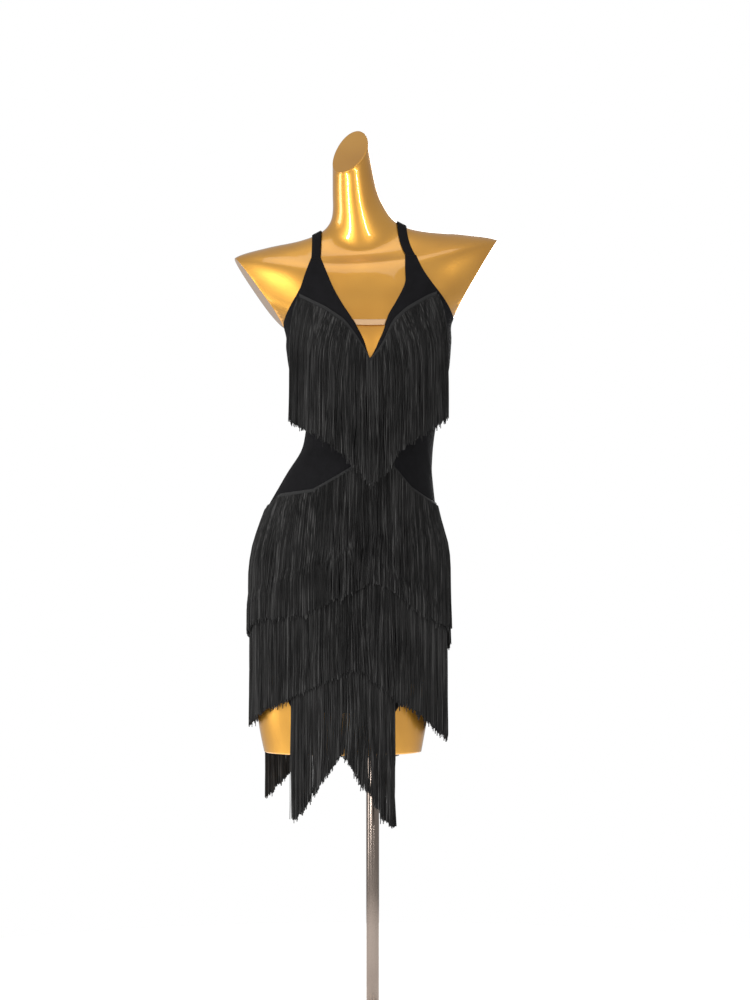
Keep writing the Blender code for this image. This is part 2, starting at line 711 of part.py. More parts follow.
def disc(name, radius, bottom, top, kind, bevel=0.0):
    """An upright round solid, with a bevelled top edge where one is asked for."""
    shape = bmesh.new()
    middle = Vector((0.0, 0.0, 0.5 * (bottom + top)))
    bmesh.ops.create_cone(shape, cap_ends=True, segments=ROUND_SIDES, radius1=radius,
                          radius2=radius, depth=top - bottom)
    bmesh.ops.translate(shape, verts=shape.verts[:], vec=middle)
    if bevel > 0.0:
        rim = [edge for edge in shape.edges if all(v.co.z > middle.z for v in edge.verts)]
        bmesh.ops.bevel(shape, geom=rim, offset=bevel, segments=3, profile=0.5, affect="EDGES",
                        material=-1)
    return add_object(name, shape, kind)


def build_stand():
    """Base plate, collar round the foot of the pole, pole, and the flange under the form."""
    flange_bottom = FORM_BOTTOM - SEAM_GAP - FLANGE_THICK
    disc("stand_base", BASE_RADIUS, 0.0, BASE_THICK, "steel", bevel=0.003)
    disc("form_flange", FLANGE_RADIUS, flange_bottom, FORM_BOTTOM - SEAM_GAP, "steel")
    foot = BASE_THICK + SEAM_GAP
    disc("stand_collar", COLLAR_RADIUS, foot, foot + COLLAR_HEIGHT, "steel", bevel=0.004)
    disc("stand_pole", POLE_RADIUS, foot + COLLAR_HEIGHT + SEAM_GAP, flange_bottom - SEAM_GAP,
         "steel")


def build():
    """Build the stand, the form and then the cloth from the body outwards."""
    clear_scene()
    build_stand()
    form = Below()
    form.add(build_form())
    below = Below()
    below.add(bpy.data.objects["form_body"])
    panels = [
        halter_front("bodice_front_left", form, HALTER_LEFT, -SIDE_TURN),
        halter_front("bodice_front_right", form, HALTER_RIGHT, SIDE_TURN),
        bodice_back(form),
        skirt_panel("skirt_front", form, -SIDE_TURN, TIER_2_FRONT, HEM_FRONT),
        skirt_panel("skirt_back", form, SIDE_TURN, TIER_2_BACK, HEM_BACK),
    ]
    build_strap("left", form)
    build_strap("right", form)
    build_bar(form)
    for panel in panels:
        below.add(panel)
    for pair in TIERS:
        made = []
        for layer in pair:
            made.extend(build_tier(below, layer, layer_turns(below, layer)))
        for thing in made:
            below.add(thing)


build()
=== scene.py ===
"""Looks of a fringed latin dance dress on a gold dress form with a pole stand.

Metres, +Z up, the front faces -Y. The form is lofted through named rings. Every cloth piece is
laid on the form, or hung over what lies below it, along level rays towards one upright axis.
"""
from __future__ import annotations

from collections import namedtuple
from collections.abc import Callable, Sequence
from dataclasses import dataclass, field
from enum import Enum
import logging
import math
import random

import bmesh
import bpy
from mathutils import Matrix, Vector, noise
from mathutils.bvhtree import BVHTree


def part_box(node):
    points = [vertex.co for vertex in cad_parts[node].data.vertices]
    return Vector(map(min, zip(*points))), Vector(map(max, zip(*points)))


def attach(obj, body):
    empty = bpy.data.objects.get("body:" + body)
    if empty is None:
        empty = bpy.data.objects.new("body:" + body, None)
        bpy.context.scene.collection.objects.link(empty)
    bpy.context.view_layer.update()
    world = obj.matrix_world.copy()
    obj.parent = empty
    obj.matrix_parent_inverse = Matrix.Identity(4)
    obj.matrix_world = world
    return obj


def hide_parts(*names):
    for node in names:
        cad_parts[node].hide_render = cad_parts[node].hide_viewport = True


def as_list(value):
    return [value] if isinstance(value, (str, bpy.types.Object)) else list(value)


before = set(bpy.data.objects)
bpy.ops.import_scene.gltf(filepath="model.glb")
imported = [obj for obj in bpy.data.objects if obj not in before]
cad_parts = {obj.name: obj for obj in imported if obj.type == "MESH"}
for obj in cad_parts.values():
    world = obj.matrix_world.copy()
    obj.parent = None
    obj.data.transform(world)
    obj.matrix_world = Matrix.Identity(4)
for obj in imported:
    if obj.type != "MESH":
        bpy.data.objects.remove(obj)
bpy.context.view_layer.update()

LOG = logging.getLogger("dress")
BODY = "root"
CLOTH_MAP = "cloth"
EDGE_MARK = "edge"
STRAND_MARK = "strand"
TINY = 1e-6

# The upright axis that level rays run towards, and how the turns round it are spread.
AXIS = Vector((-0.0045, 0.0, 0.0))
DEPTH_RATIO = 0.65
REACH = 1.0
SIDE_TURN = 90.0
FRONT_TURNS = 100.0
HALVINGS = 22
OUTLINE_PASSES = 12
BODY_RADIUS = 0.11

# Layers of cloth, from the form outwards
CLOTH_LIFT = 0.0017
CLOTH_WALL = 0.0012
TAPE_LIFT = 0.0006
TAPE_WALL = 0.0010
TAPE_DROP = 0.007
FRINGE_LIFT = 0.0016
FRINGE_DEPTH = 0.0030
FRINGE_LENGTH = 0.206
HEM_FRINGE_LENGTH = 0.220

# One level of the form. height is at the side; drops lower the front and back middle below it.
Ring = namedtuple("Ring", "height centre half_width front back front_drop back_drop tilt")
FORM_RINGS = (
    Ring(0.470, -0.0500, 0.1270, 0.080, 0.088, 0.000, 0.000, 0.000),
    Ring(0.551, -0.0510, 0.1430, 0.086, 0.097, 0.000, 0.000, 0.000),
    Ring(0.640, -0.0465, 0.1535, 0.092, 0.109, 0.000, 0.000, 0.000),
    Ring(0.741, -0.0410, 0.1615, 0.095, 0.121, 0.000, 0.000, 0.000),
    Ring(0.801, -0.0400, 0.1650, 0.095, 0.122, 0.000, 0.000, 0.000),
    Ring(0.845, -0.0385, 0.1610, 0.094, 0.115, 0.000, 0.000, 0.000),
    Ring(0.880, -0.0375, 0.1510, 0.092, 0.104, 0.000, 0.000, 0.000),
    Ring(0.913, -0.0355, 0.1405, 0.091, 0.094, 0.000, 0.000, 0.000),
    Ring(0.946, -0.0285, 0.1290, 0.090, 0.086, 0.000, 0.000, 0.000),
    Ring(0.976, -0.0210, 0.1188, 0.089, 0.079, 0.000, 0.000, 0.000),
    Ring(1.009, -0.0100, 0.1090, 0.087, 0.075, 0.000, 0.000, 0.000),
    Ring(1.040, -0.0045, 0.1070, 0.086, 0.075, 0.000, 0.000, 0.000),
    Ring(1.070, -0.0010, 0.1088, 0.087, 0.078, 0.000, 0.000, 0.000),
    Ring(1.107, -0.0027, 0.1205, 0.092, 0.084, 0.000, 0.000, 0.010),
    Ring(1.149, -0.0053, 0.1325, 0.097, 0.090, 0.000, 0.000, 0.025),
    Ring(1.190, -0.0065, 0.1375, 0.098, 0.094, 0.000, 0.000, 0.045),
    Ring(1.226, -0.0070, 0.1420, 0.094, 0.096, 0.000, 0.000, 0.060),
    Ring(1.268, -0.0085, 0.1900, 0.088, 0.096, 0.000, 0.000, 0.066),
    Ring(1.305, -0.0095, 0.2180, 0.077, 0.094, 0.004, 0.000, 0.066),
    Ring(1.334, -0.0095, 0.2310, 0.067, 0.088, 0.011, 0.000, 0.066),
    Ring(1.355, -0.0100, 0.2220, 0.059, 0.079, 0.025, 0.000, 0.066),
    Ring(1.368, -0.0110, 0.1650, 0.053, 0.068, 0.032, -0.006, 0.066),
    Ring(1.379, -0.0130, 0.0880, 0.046, 0.056, 0.036, -0.012, 0.066),
    Ring(1.396, -0.0170, 0.0580, 0.041, 0.050, 0.042, -0.010, 0.040),
    Ring(1.417, -0.0218, 0.0462, 0.038, 0.046, 0.034, -0.008, 0.020),
    Ring(1.450, -0.0294, 0.0386, 0.037, 0.043, 0.015, -0.003, 0.000),
    Ring(1.497, -0.0345, 0.0335, 0.036, 0.041, 0.000, 0.000, 0.000),
    Ring(1.550, -0.0384, 0.0290, 0.035, 0.039, 0.000, 0.000, 0.000),
    Ring(1.610, -0.0410, 0.0270, 0.034, 0.038, 0.000, 0.000, 0.000),
)

# A soft swelling of the front: across and height give its middle, the spreads its size.
Cup = namedtuple("Cup", "across height rise spread_across spread_up spread_down")
CUPS = (
    Cup(-0.080, 1.170, 0.031, 0.043, 0.058, 0.038),
    Cup(0.068, 1.176, 0.031, 0.043, 0.058, 0.038),
)

# A flat cut through the form: a point on it, the way the removed end faces, the height above
# which it cuts, and how far its rim is rounded.
Cut = namedtuple("Cut", "point facing above rounding")
FORM_CUTS = (
    Cut((0.000, 0.0, 0.500), (0.0, 0.0, -1.0), 0.0, 0.0026),
    Cut((-0.1955, 0.0, 1.2817), (-0.822, -0.120, -0.568), 1.215, 0.0006),
    Cut((0.1775, 0.0, 1.3060), (0.870, -0.080, -0.494), 1.228, 0.0006),
    Cut((-0.0384, -0.002, 1.518), (-0.640, -0.960, 1.0), 1.400, 0.0014),
)

# Outlines as seen level from the front: how far across, and how high.
Mark = namedtuple("Mark", "across height")
TIER_1_LEFT = (
    Mark(-0.122, 1.273), Mark(-0.077, 1.250), Mark(-0.046, 1.228),
    Mark(-0.028, 1.203), Mark(-0.009, 1.173), Mark(-0.0045, 1.162),
)
TIER_1_RIGHT = (
    Mark(-0.0045, 1.162), Mark(0.017, 1.188), Mark(0.024, 1.206),
    Mark(0.034, 1.228), Mark(0.057, 1.250), Mark(0.092, 1.271), Mark(0.107, 1.277),
)
TIER_2_FRONT = (
    Mark(-0.181, 0.913), Mark(-0.156, 0.938), Mark(-0.099, 0.946), Mark(-0.066, 0.965),
    Mark(-0.028, 0.988), Mark(0.001, 1.003), Mark(0.037, 0.983), Mark(0.064, 0.950),
    Mark(0.089, 0.933), Mark(0.108, 0.922), Mark(0.125, 0.905),
)
TIER_2_BACK = (
    Mark(-0.181, 0.913), Mark(-0.100, 0.935), Mark(-0.020, 0.985), Mark(0.060, 0.930),
    Mark(0.100, 0.885), Mark(0.125, 0.905),
)
TIER_3_FRONT = (
    Mark(-0.208, 0.761), Mark(-0.175, 0.787), Mark(-0.135, 0.808), Mark(-0.071, 0.838),
    Mark(-0.028, 0.856), Mark(0.002, 0.838), Mark(0.039, 0.802), Mark(0.070, 0.787),
    Mark(0.110, 0.750), Mark(0.130, 0.734),
)
TIER_3_BACK = (
    Mark(-0.208, 0.761), Mark(-0.120, 0.790), Mark(-0.030, 0.840), Mark(0.060, 0.785),
    Mark(0.130, 0.734),
)
TIER_4_FRONT = (
    Mark(-0.134, 0.623), Mark(-0.130, 0.614), Mark(-0.081, 0.685), Mark(-0.049, 0.733),
    Mark(-0.023, 0.690), Mark(0.030, 0.605), Mark(0.036, 0.609),
)
TIER_4_BACK = (
    Mark(-0.182, 0.642), Mark(-0.142, 0.682), Mark(-0.080, 0.733), Mark(-0.010, 0.669),
    Mark(0.034, 0.626),
)
HEM_FRONT = (
    Mark(-0.208, 0.738), Mark(-0.165, 0.650), Mark(-0.134, 0.575), Mark(0.036, 0.570),
    Mark(0.075, 0.640), Mark(0.130, 0.712),
)
HEM_BACK = (
    Mark(-0.208, 0.738), Mark(-0.190, 0.600), Mark(-0.160, 0.590), Mark(0.034, 0.580),
    Mark(0.080, 0.640), Mark(0.130, 0.712),
)

# A level row of a halter front, from the neckline or centre front out to the armhole or side.
Row = namedtuple("Row", "height inner outer")
HALTER_LEFT = (
    Row(1.333, -0.0867, -0.1035), Row(1.306, -0.0755, -0.1130), Row(1.280, -0.0645, -0.1215),
    Row(1.254, -0.0500, -0.1365), Row(1.230, -0.0345, -0.1480), Row(1.206, -0.0210, None),
    Row(1.184, -0.0115, None), Row(1.164, None, None),
)
HALTER_RIGHT = (
    Row(1.338, 0.0544, 0.0730), Row(1.314, 0.0544, 0.0840), Row(1.290, 0.0540, 0.1000),
    Row(1.260, 0.0400, 0.1230), Row(1.236, 0.0265, 0.1345), Row(1.208, 0.0180, None),
    Row(1.184, 0.0075, None), Row(1.164, None, None),
)

# The back's top edge: turn round the axis from the front, and height.
BACK_TOP = (Mark(90, 1.190), Mark(117, 1.180), Mark(144, 1.174), Mark(171, 1.174),
            Mark(180, 1.162), Mark(189, 1.174), Mark(216, 1.174), Mark(243, 1.180),
            Mark(270, 1.186))


class Side(Enum):
    """Left and right as seen from the front."""

    LEFT = "left"
    RIGHT = "right"


class Face(Enum):
    """Which half of the dress a piece belongs to."""

    FRONT = "front"
    BACK = "back"


# ---------------------------------------------------------------- small geometry helpers

def smooth_value(a: float, b: float, c: float, d: float, share: float) -> float:
    """Catmull-Rom value between b and c.

    Args:
        a, b, c, d: four values in a row.
        share: 0 at b, 1 at c.

    Returns:
        The value at that share.
    """
    return 0.5 * (2.0 * b + (c - a) * share + (2.0 * a - 5.0 * b + 4.0 * c - d) * share ** 2
                  + (3.0 * b - a - 3.0 * c + d) * share ** 3)


def smooth_row(table: Sequence[Sequence[float]], share: float) -> list[float]:
    """Row of a table at a share of its length, smooth between its own rows.

    Args:
        table: rows of equal length.
        share: 0 at the first row, 1 at the last.

    Returns:
        The values of that row.
    """
    last = len(table) - 1
    place_in = min(max(share, 0.0), 1.0) * last
    index = min(int(place_in), last - 1)
    four = [table[min(max(index + shift, 0), last)] for shift in (-1, 0, 1, 2)]
    return [smooth_value(*values, place_in - index) for values in zip(*four)]


def heading(turn: float) -> Vector:
    """Level direction for a turn in degrees; 0 is the front, 90 is +X, 180 the back."""
    angle = math.radians(turn)
    return Vector((math.sin(angle), -DEPTH_RATIO * math.cos(angle), 0.0)).normalized()


def place(turn: float, height: float, radius: float) -> Vector:
    """The point at a turn, a height and a distance from the axis."""
    return Vector((AXIS.x, AXIS.y, height)) + heading(turn) * radius


def level_of(marks: Sequence[Mark], across: float) -> float:
    """Height of an outline at a distance across, or of an edge at a turn.

    Args:
        marks: the outline, in order of across.
        across: where to read it.

    Returns:
        The height there, level past both ends.
    """
    if across <= marks[0].across:
        return marks[0].height
    for left, right in zip(marks, marks[1:]):
        if across <= right.across:
            share = (across - left.across) / (right.across - left.across)
            return left.height + share * (right.height - left.height)
    return marks[-1].height


def evened(values: Sequence[float], reach: int) -> list[float]:
    """Values averaged with their neighbours, the two ends kept.

    Args:
        values: the values in order.
        reach: how many neighbours on each side count.

    Returns:
        The evened values.
    """
    last = len(values) - 1
    result = []
    for index in range(len(values)):
        near = min(reach, index, last - index)
        part = values[index - near:index + near + 1]
        result.append(sum(part) / len(part))
    return result


def soft_step(value: float) -> float:
    """0 below 0, 1 above 1, and smooth between."""
    held = min(max(value, 0.0), 1.0)
    return held * held * (3.0 - 2.0 * held)


def add_piece(name: str, shape: bmesh.types.BMesh, finish: "Finish") -> bpy.types.Object:
    """Turn a bmesh into a smooth named object with its finish.

    Args:
        name: the piece's name.
        shape: the mesh, which is freed.
        finish: what it is dressed in.

    Returns:
        The new object, riding on the one body.
    """
    mesh = bpy.data.meshes.new(name)
    for face in shape.faces:
        face.smooth = True
    shape.to_mesh(mesh)
    shape.free()
    mesh.materials.append(finish.material())
    thing = bpy.data.objects.new(name, mesh)
    bpy.context.scene.collection.objects.link(thing)
    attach(thing, BODY)
    return thing


def report(thing: bpy.types.Object) -> None:
    """Log a finished piece with its size in triangles."""
    thing.data.calc_loop_triangles()
    LOG.info("%s: %d triangles", thing.name, len(thing.data.loop_triangles))


# ---------------------------------------------------------------- finishes

class Wiring:
    """The nodes of one material, with short ways to add and join them."""

    def __init__(self, name: str) -> None:
        """Start a material of that name with its principled shader.

        Args:
            name: what it is called.
        """
        self.material = bpy.data.materials.new(name)
        self.material.use_nodes = True
        self.tree = self.material.node_tree
        self.shader = self.tree.nodes["Principled BSDF"]

    def set(self, **values: object) -> None:
        """Set the shader's own sockets; Base_Color stands for Base Color."""
        for name, value in values.items():
            self.shader.inputs[name.replace("_", " ")].default_value = value

    def add(self, kind: str, inputs: dict[object, object] | None = None,
            **settings: object) -> bpy.types.Node:
        """Add a node.

        Args:
            kind: the node's type, without the ShaderNode in front.
            inputs: socket name or number to a value, or to the socket that feeds it.
            settings: the node's own properties.

        Returns:
            The new node.
        """
        node = self.tree.nodes.new("ShaderNode" + kind)
        for name, value in settings.items():
            setattr(node, name, value)
        for key, value in (inputs or {}).items():
            if isinstance(value, bpy.types.NodeSocket):
                self.tree.links.new(value, node.inputs[key])
            else:
                node.inputs[key].default_value = value
        return node

    def maths(self, operation: str, *values: object) -> bpy.types.NodeSocket:
        """The result of a Math node on values or sockets."""
        node = self.add("Math", dict(enumerate(values)), operation=operation)
        return node.outputs[0]

    def place_on(self, scale: tuple[float, float, float] = (1.0, 1.0, 1.0),
                 cloth: bool = False) -> bpy.types.NodeSocket:
        """Coordinates of the piece, stretched.

        Args:
            scale: how many units a metre counts along each axis.
            cloth: use the flat cloth's own map in place of object coordinates.

        Returns:
            The coordinates' socket.
        """
        if cloth:
            source = self.add("UVMap", uv_map=CLOTH_MAP).outputs["UV"]
        else:
            source = self.add("TexCoord").outputs["Object"]
        return self.add("Mapping", {"Vector": source, "Scale": scale}).outputs["Vector"]

    def noise(self, at: bpy.types.NodeSocket, scale: float, detail: float = 2.0
              ) -> bpy.types.NodeSocket:
        """Value of a noise at some coordinates."""
        node = self.add("TexNoise", {"Vector": at, "Scale": scale, "Detail": detail})
        return node.outputs[0]

    def mark(self, name: str) -> bpy.types.NodeSocket:
        """Value of one of the mesh's own attributes."""
        return self.add("Attribute", attribute_name=name).outputs["Fac"]

    def wave(self, turns: bpy.types.NodeSocket) -> bpy.types.NodeSocket:
        """A sine of an angle, from 0 to 1."""
        return self.between(self.maths("SINE", turns), -1.0, 1.0, 0.0, 1.0)

    def ribs(self, along: bpy.types.NodeSocket, pitch: float) -> bpy.types.NodeSocket:
        """Even ribs from 0 to 1, one to each pitch in metres."""
        return self.wave(self.maths("MULTIPLY", along, math.tau / pitch))

    def weighed(self, *parts: tuple[bpy.types.NodeSocket, float]) -> bpy.types.NodeSocket:
        """Sum of values, each times its weight.

        Args:
            parts: each value and its weight.

        Returns:
            Socket with the sum.
        """
        total = self.maths("MULTIPLY", *parts[0])
        for value, weight in parts[1:]:
            total = self.maths("MULTIPLY_ADD", value, weight, total)
        return total

    def between(self, value: bpy.types.NodeSocket, low: float, high: float,
                out_low: float, out_high: float) -> bpy.types.NodeSocket:
        """Map a value's range low..high onto out_low..out_high, held at both ends."""
        sockets = {0: value, 1: low, 2: high, 3: out_low, 4: out_high}
        return self.add("MapRange", sockets).outputs[0]

    def colours(self, value: bpy.types.NodeSocket, first: Sequence[float],
                second: Sequence[float]) -> bpy.types.NodeSocket:
        """Colour between two, by a value from 0 to 1.

        Args:
            value: socket with the share of the second colour.
            first: red, green and blue at 0.
            second: red, green and blue at 1.

        Returns:
            Socket with the colour.
        """
        node = self.add("Mix", {0: value, 6: (*first, 1.0), 7: (*second, 1.0)},
                        data_type="RGBA")
        return node.outputs[2]

    def join(self, source: bpy.types.NodeSocket, target: str) -> None:
        """Feed one of the shader's sockets."""
        self.tree.links.new(source, self.shader.inputs[target])

    def bump(self, height: bpy.types.NodeSocket, depth: float,
             under: bpy.types.NodeSocket | None = None) -> bpy.types.NodeSocket:
        """A bump in metres.

        Args:
            height: socket from 0 to 1.
            depth: how high 1 stands, in metres.
            under: the normal of a coarser bump below it.

        Returns:
            The normal's socket.
        """
        inputs = {"Height": height, "Distance": depth, "Strength": 1.0}
        if under is not None:
            inputs["Normal"] = under
        return self.add("Bump", inputs).outputs["Normal"]


# The materials made here. The CAD model brings its own, named after their slots.
MADE: dict[str, bpy.types.Material] = {}


@dataclass(frozen=True)
class Finish:
    """A surface finish: its name, and its slot name, which is not used."""

    name: str
    slot: str

    def material(self) -> bpy.types.Material:
        """The finish's material, made once.

        Returns:
            The material.
        """
        if self.name not in MADE:
            wiring = Wiring(self.name)
            self.dress(wiring)
            MADE[self.name] = wiring.material
        return MADE[self.name]

    def dress(self, wiring: Wiring) -> None:
        """Wire the finish; every finish has its own."""
        raise NotImplementedError


@dataclass(frozen=True)
class GoldLacquer(Finish):
    """Gold flake paint under a clear gloss coat."""

    deep: tuple[float, float, float] = (0.66, 0.305, 0.036)
    bright: tuple[float, float, float] = (0.84, 0.420, 0.060)
    clouds: float = 7.0
    flakes: float = 1500.0
    flake_depth: float = 0.00006
    ripple: float = 38.0
    ripple_depth: float = 0.00022

    def dress(self, wiring: Wiring) -> None:
        """Cloudy gold, flakes in the roughness, a faint ripple in the coat.

        Args:
            wiring: the material being wired.
        """
        at = wiring.place_on()
        cloud = wiring.between(wiring.noise(at, self.clouds), 0.35, 0.65, 0.0, 1.0)
        flake = wiring.noise(at, self.flakes, 1.0)
        wiring.join(wiring.colours(cloud, self.deep, self.bright), "Base Color")
        wiring.join(wiring.between(flake, 0.3, 0.7, 0.30, 0.37), "Roughness")
        wiring.join(wiring.bump(flake, self.flake_depth), "Normal")
        wiring.join(wiring.bump(wiring.noise(at, self.ripple), self.ripple_depth), "Coat Normal")
        wiring.set(Metallic=0.86, Coat_Weight=1.0, Coat_Roughness=0.035, Coat_IOR=1.6)


@dataclass(frozen=True)
class BrushedSteel(Finish):
    """Warm grey steel with fine lines; grain says how they are stretched on each axis."""

    grain: tuple[float, float, float] = (1.0, 1.0, 0.02)
    dark: tuple[float, float, float] = (0.190, 0.150, 0.126)
    light: tuple[float, float, float] = (0.330, 0.275, 0.238)
    lines: float = 1800.0
    line_depth: float = 0.00005

    def dress(self, wiring: Wiring) -> None:
        """Fine lines in colour, roughness and bump over a slow mottle.

        Args:
            wiring: the material being wired.
        """
        line = wiring.noise(wiring.place_on(self.grain), self.lines, 3.0)
        mottle = wiring.noise(wiring.place_on(), 12.0)
        share = wiring.weighed((line, 0.35), (mottle, 0.7))
        wiring.join(wiring.colours(share, self.dark, self.light), "Base Color")
        wiring.join(wiring.between(line, 0.3, 0.7, 0.16, 0.25), "Roughness")
        wiring.join(wiring.bump(line, self.line_depth), "Normal")
        wiring.set(Metallic=1.0)


@dataclass(frozen=True)
class Jersey(Finish):
    """Matt stretch knit: plaited wales, a faint mottle and a stitched line along the edges."""

    dark: tuple[float, float, float] = (0.0024, 0.0023, 0.0027)
    light: tuple[float, float, float] = (0.0120, 0.0114, 0.0134)
    wale: float = 0.0008
    course: float = 0.0007
    loop_depth: float = 0.00016
    pucker_depth: float = 0.0006
    stitch_at: float = 0.0060
    stitch_width: float = 0.0005
    stitch_pitch: float = 0.0026

    def dress(self, wiring: Wiring) -> None:
        """Plaited loops in bump and in colour, where the colour is painted shade that darkens
        the dips between loops and wales; puckers and stitches near the edge.

        Args:
            wiring: the material being wired.
        """
        at = wiring.place_on((1.0 / self.wale, 1.0 / self.course, 1.0), cloth=True)
        split = wiring.add("SeparateXYZ", {0: at})
        across = wiring.maths("FRACT", split.outputs[0])
        leaning = wiring.maths("ABSOLUTE", wiring.maths("SUBTRACT", across, 0.5))
        turn = wiring.maths("MULTIPLY", wiring.maths("ADD", split.outputs[1], leaning), math.tau)
        loop = wiring.wave(turn)
        wale = wiring.between(leaning, 0.0, 0.5, 1.0, 0.25)
        knit = wiring.maths("MULTIPLY", loop, wale)
        flat = wiring.place_on(cloth=True)
        mottle = wiring.between(wiring.noise(flat, 55.0, 4.0), 0.3, 0.7, 0.0, 1.0)
        stitch = self.stitches(wiring, flat)
        # painted shade: the knit's height, also used as bump, darkens the colour in the dips
        # between loops and wales
        shade = wiring.weighed((knit, 0.45), (mottle, 0.35), (stitch, 0.5))
        wiring.join(wiring.colours(shade, self.dark, self.light), "Base Color")
        pucker = wiring.bump(self.puckers(wiring, flat), self.pucker_depth)
        sewn = wiring.bump(stitch, self.stitch_width, pucker)
        wiring.join(wiring.bump(knit, self.loop_depth, sewn), "Normal")
        wiring.join(wiring.between(mottle, 0.0, 1.0, 0.68, 0.80), "Roughness")
        wiring.set(Specular_IOR_Level=0.10, Sheen_Weight=0.01, Sheen_Roughness=0.40)

    def stitches(self, wiring: Wiring, flat: bpy.types.NodeSocket) -> bpy.types.NodeSocket:
        """Short dashes in a line beside the edge.

        Args:
            wiring: the material being wired.
            flat: socket with the place on the flat sheet, in metres.

        Returns:
            Socket that is 1 on a stitch.
        """
        away = wiring.maths("SUBTRACT", wiring.mark(EDGE_MARK), self.stitch_at)
        away = wiring.maths("ABSOLUTE", away)
        line = wiring.between(away, 0.4 * self.stitch_width, self.stitch_width, 1.0, 0.0)
        split = wiring.add("SeparateXYZ", {0: flat})
        along = wiring.maths("ADD", split.outputs[0], split.outputs[1])
        beat = wiring.maths("FRACT", wiring.maths("DIVIDE", along, self.stitch_pitch))
        dash = wiring.between(beat, 0.70, 0.80, 1.0, 0.0)
        return wiring.maths("MULTIPLY", line, dash)

    def puckers(self, wiring: Wiring, flat: bpy.types.NodeSocket) -> bpy.types.NodeSocket:
        """Slight unevenness that fades away from the sewn edge."""
        near = wiring.between(wiring.mark(EDGE_MARK), 0.002, 0.016, 1.0, 0.12)
        return wiring.maths("MULTIPLY", wiring.noise(flat, 150.0, 2.0), near)


@dataclass(frozen=True)
class HeadingTape(Finish):
    """Narrow woven tape that the fringe is knitted on to."""

    dark: tuple[float, float, float] = (0.0045, 0.0045, 0.0047)
    light: tuple[float, float, float] = (0.0100, 0.0097, 0.0097)
    rib: float = 0.0011
    rib_depth: float = 0.00022
    roll: float = 0.0011

    def dress(self, wiring: Wiring) -> None:
        """Ribs across the tape in bump and in colour, the colour as painted shade in the grooves
        between ribs, and edges painted lighter as a painted highlight where they catch a little
        more light.

        Args:
            wiring: the material being wired.
        """
        at = wiring.place_on(cloth=True)
        split = wiring.add("SeparateXYZ", {0: at})
        rib = wiring.ribs(split.outputs[0], self.rib)
        rim = wiring.between(wiring.mark(EDGE_MARK), 0.4 * self.roll, 1.6 * self.roll, 1.0, 0.0)
        fuzz = wiring.noise(at, 900.0, 3.0)
        # painted light in the colour: ribs darker in their grooves, rolled edges lighter as a
        # painted highlight; the fuzz is the tape's own uneven tone
        shade = wiring.weighed((fuzz, 0.3), (rib, 0.35), (rim, 0.35))
        wiring.join(wiring.colours(shade, self.dark, self.light), "Base Color")
        rolled = wiring.bump(rim, 0.5 * self.roll)
        wiring.join(wiring.bump(rib, self.rib_depth, rolled), "Normal")
        wiring.join(wiring.between(fuzz, 0.3, 0.7, 0.60, 0.78), "Roughness")
        wiring.set(Specular_IOR_Level=0.4, Sheen_Weight=0.08, Sheen_Roughness=0.4)


@dataclass(frozen=True)
class FringeYarn(Finish):
    """Soft chained yarn with a dull shine; every strand has its own tone, and in streaks of a
    few strands that tone is raised to a painted sheen highlight.
    """

    dark: tuple[float, float, float] = (0.0022, 0.0021, 0.0021)
    light: tuple[float, float, float] = (0.0700, 0.0685, 0.0675)
    link: float = 0.0013
    link_depth: float = 0.00025
    patch: float = 16.0
    sheen_streak: float = 330.0
    streak_grain: tuple[float, float, float] = (1.0, 1.0, 0.035)

    def dress(self, wiring: Wiring) -> None:
        """Chain links down each strand, painted lighter at their crests as painted shade between
        links; streaks of a few strands painted light as a painted sheen highlight; and broad
        patches.

        Args:
            wiring: the material being wired.
        """
        at = wiring.place_on()
        split = wiring.add("SeparateXYZ", {0: at})
        strand = wiring.mark(STRAND_MARK)
        beat = wiring.maths("MULTIPLY", split.outputs[2], math.tau / self.link)
        beat = wiring.maths("MULTIPLY_ADD", strand, 40.0, beat)
        wobble = wiring.maths("MULTIPLY", wiring.noise(at, 420.0, 2.0), 5.0)
        # the chain links' wave, used as bump and, in the colour, as painted shade darkening the
        # dips between links
        link = wiring.wave(wiring.maths("ADD", beat, wobble))
        patch = wiring.between(wiring.noise(at, self.patch, 3.0), 0.35, 0.68, 0.0, 1.0)
        # painted sheen highlight: a noise stretched down the strands picks streaks in which each
        # strand's own tone, squared, is painted far lighter than the black yarn
        sheen_streak = wiring.noise(wiring.place_on(self.streak_grain), self.sheen_streak, 2.0)
        sheen_streak = wiring.between(sheen_streak, 0.38, 0.66, 0.0, 1.0)
        bright = wiring.maths("MULTIPLY", wiring.maths("POWER", strand, 2.0), sheen_streak)
        shade = wiring.weighed((bright, 1.0), (link, 0.08), (patch, 0.10))
        wiring.join(wiring.colours(shade, self.dark, self.light), "Base Color")
        wiring.join(wiring.bump(link, self.link_depth), "Normal")
        wiring.join(wiring.between(strand, 0.0, 1.0, 0.38, 0.56), "Roughness")
        wiring.set(Specular_IOR_Level=0.16, Sheen_Weight=0.01, Sheen_Roughness=0.4)


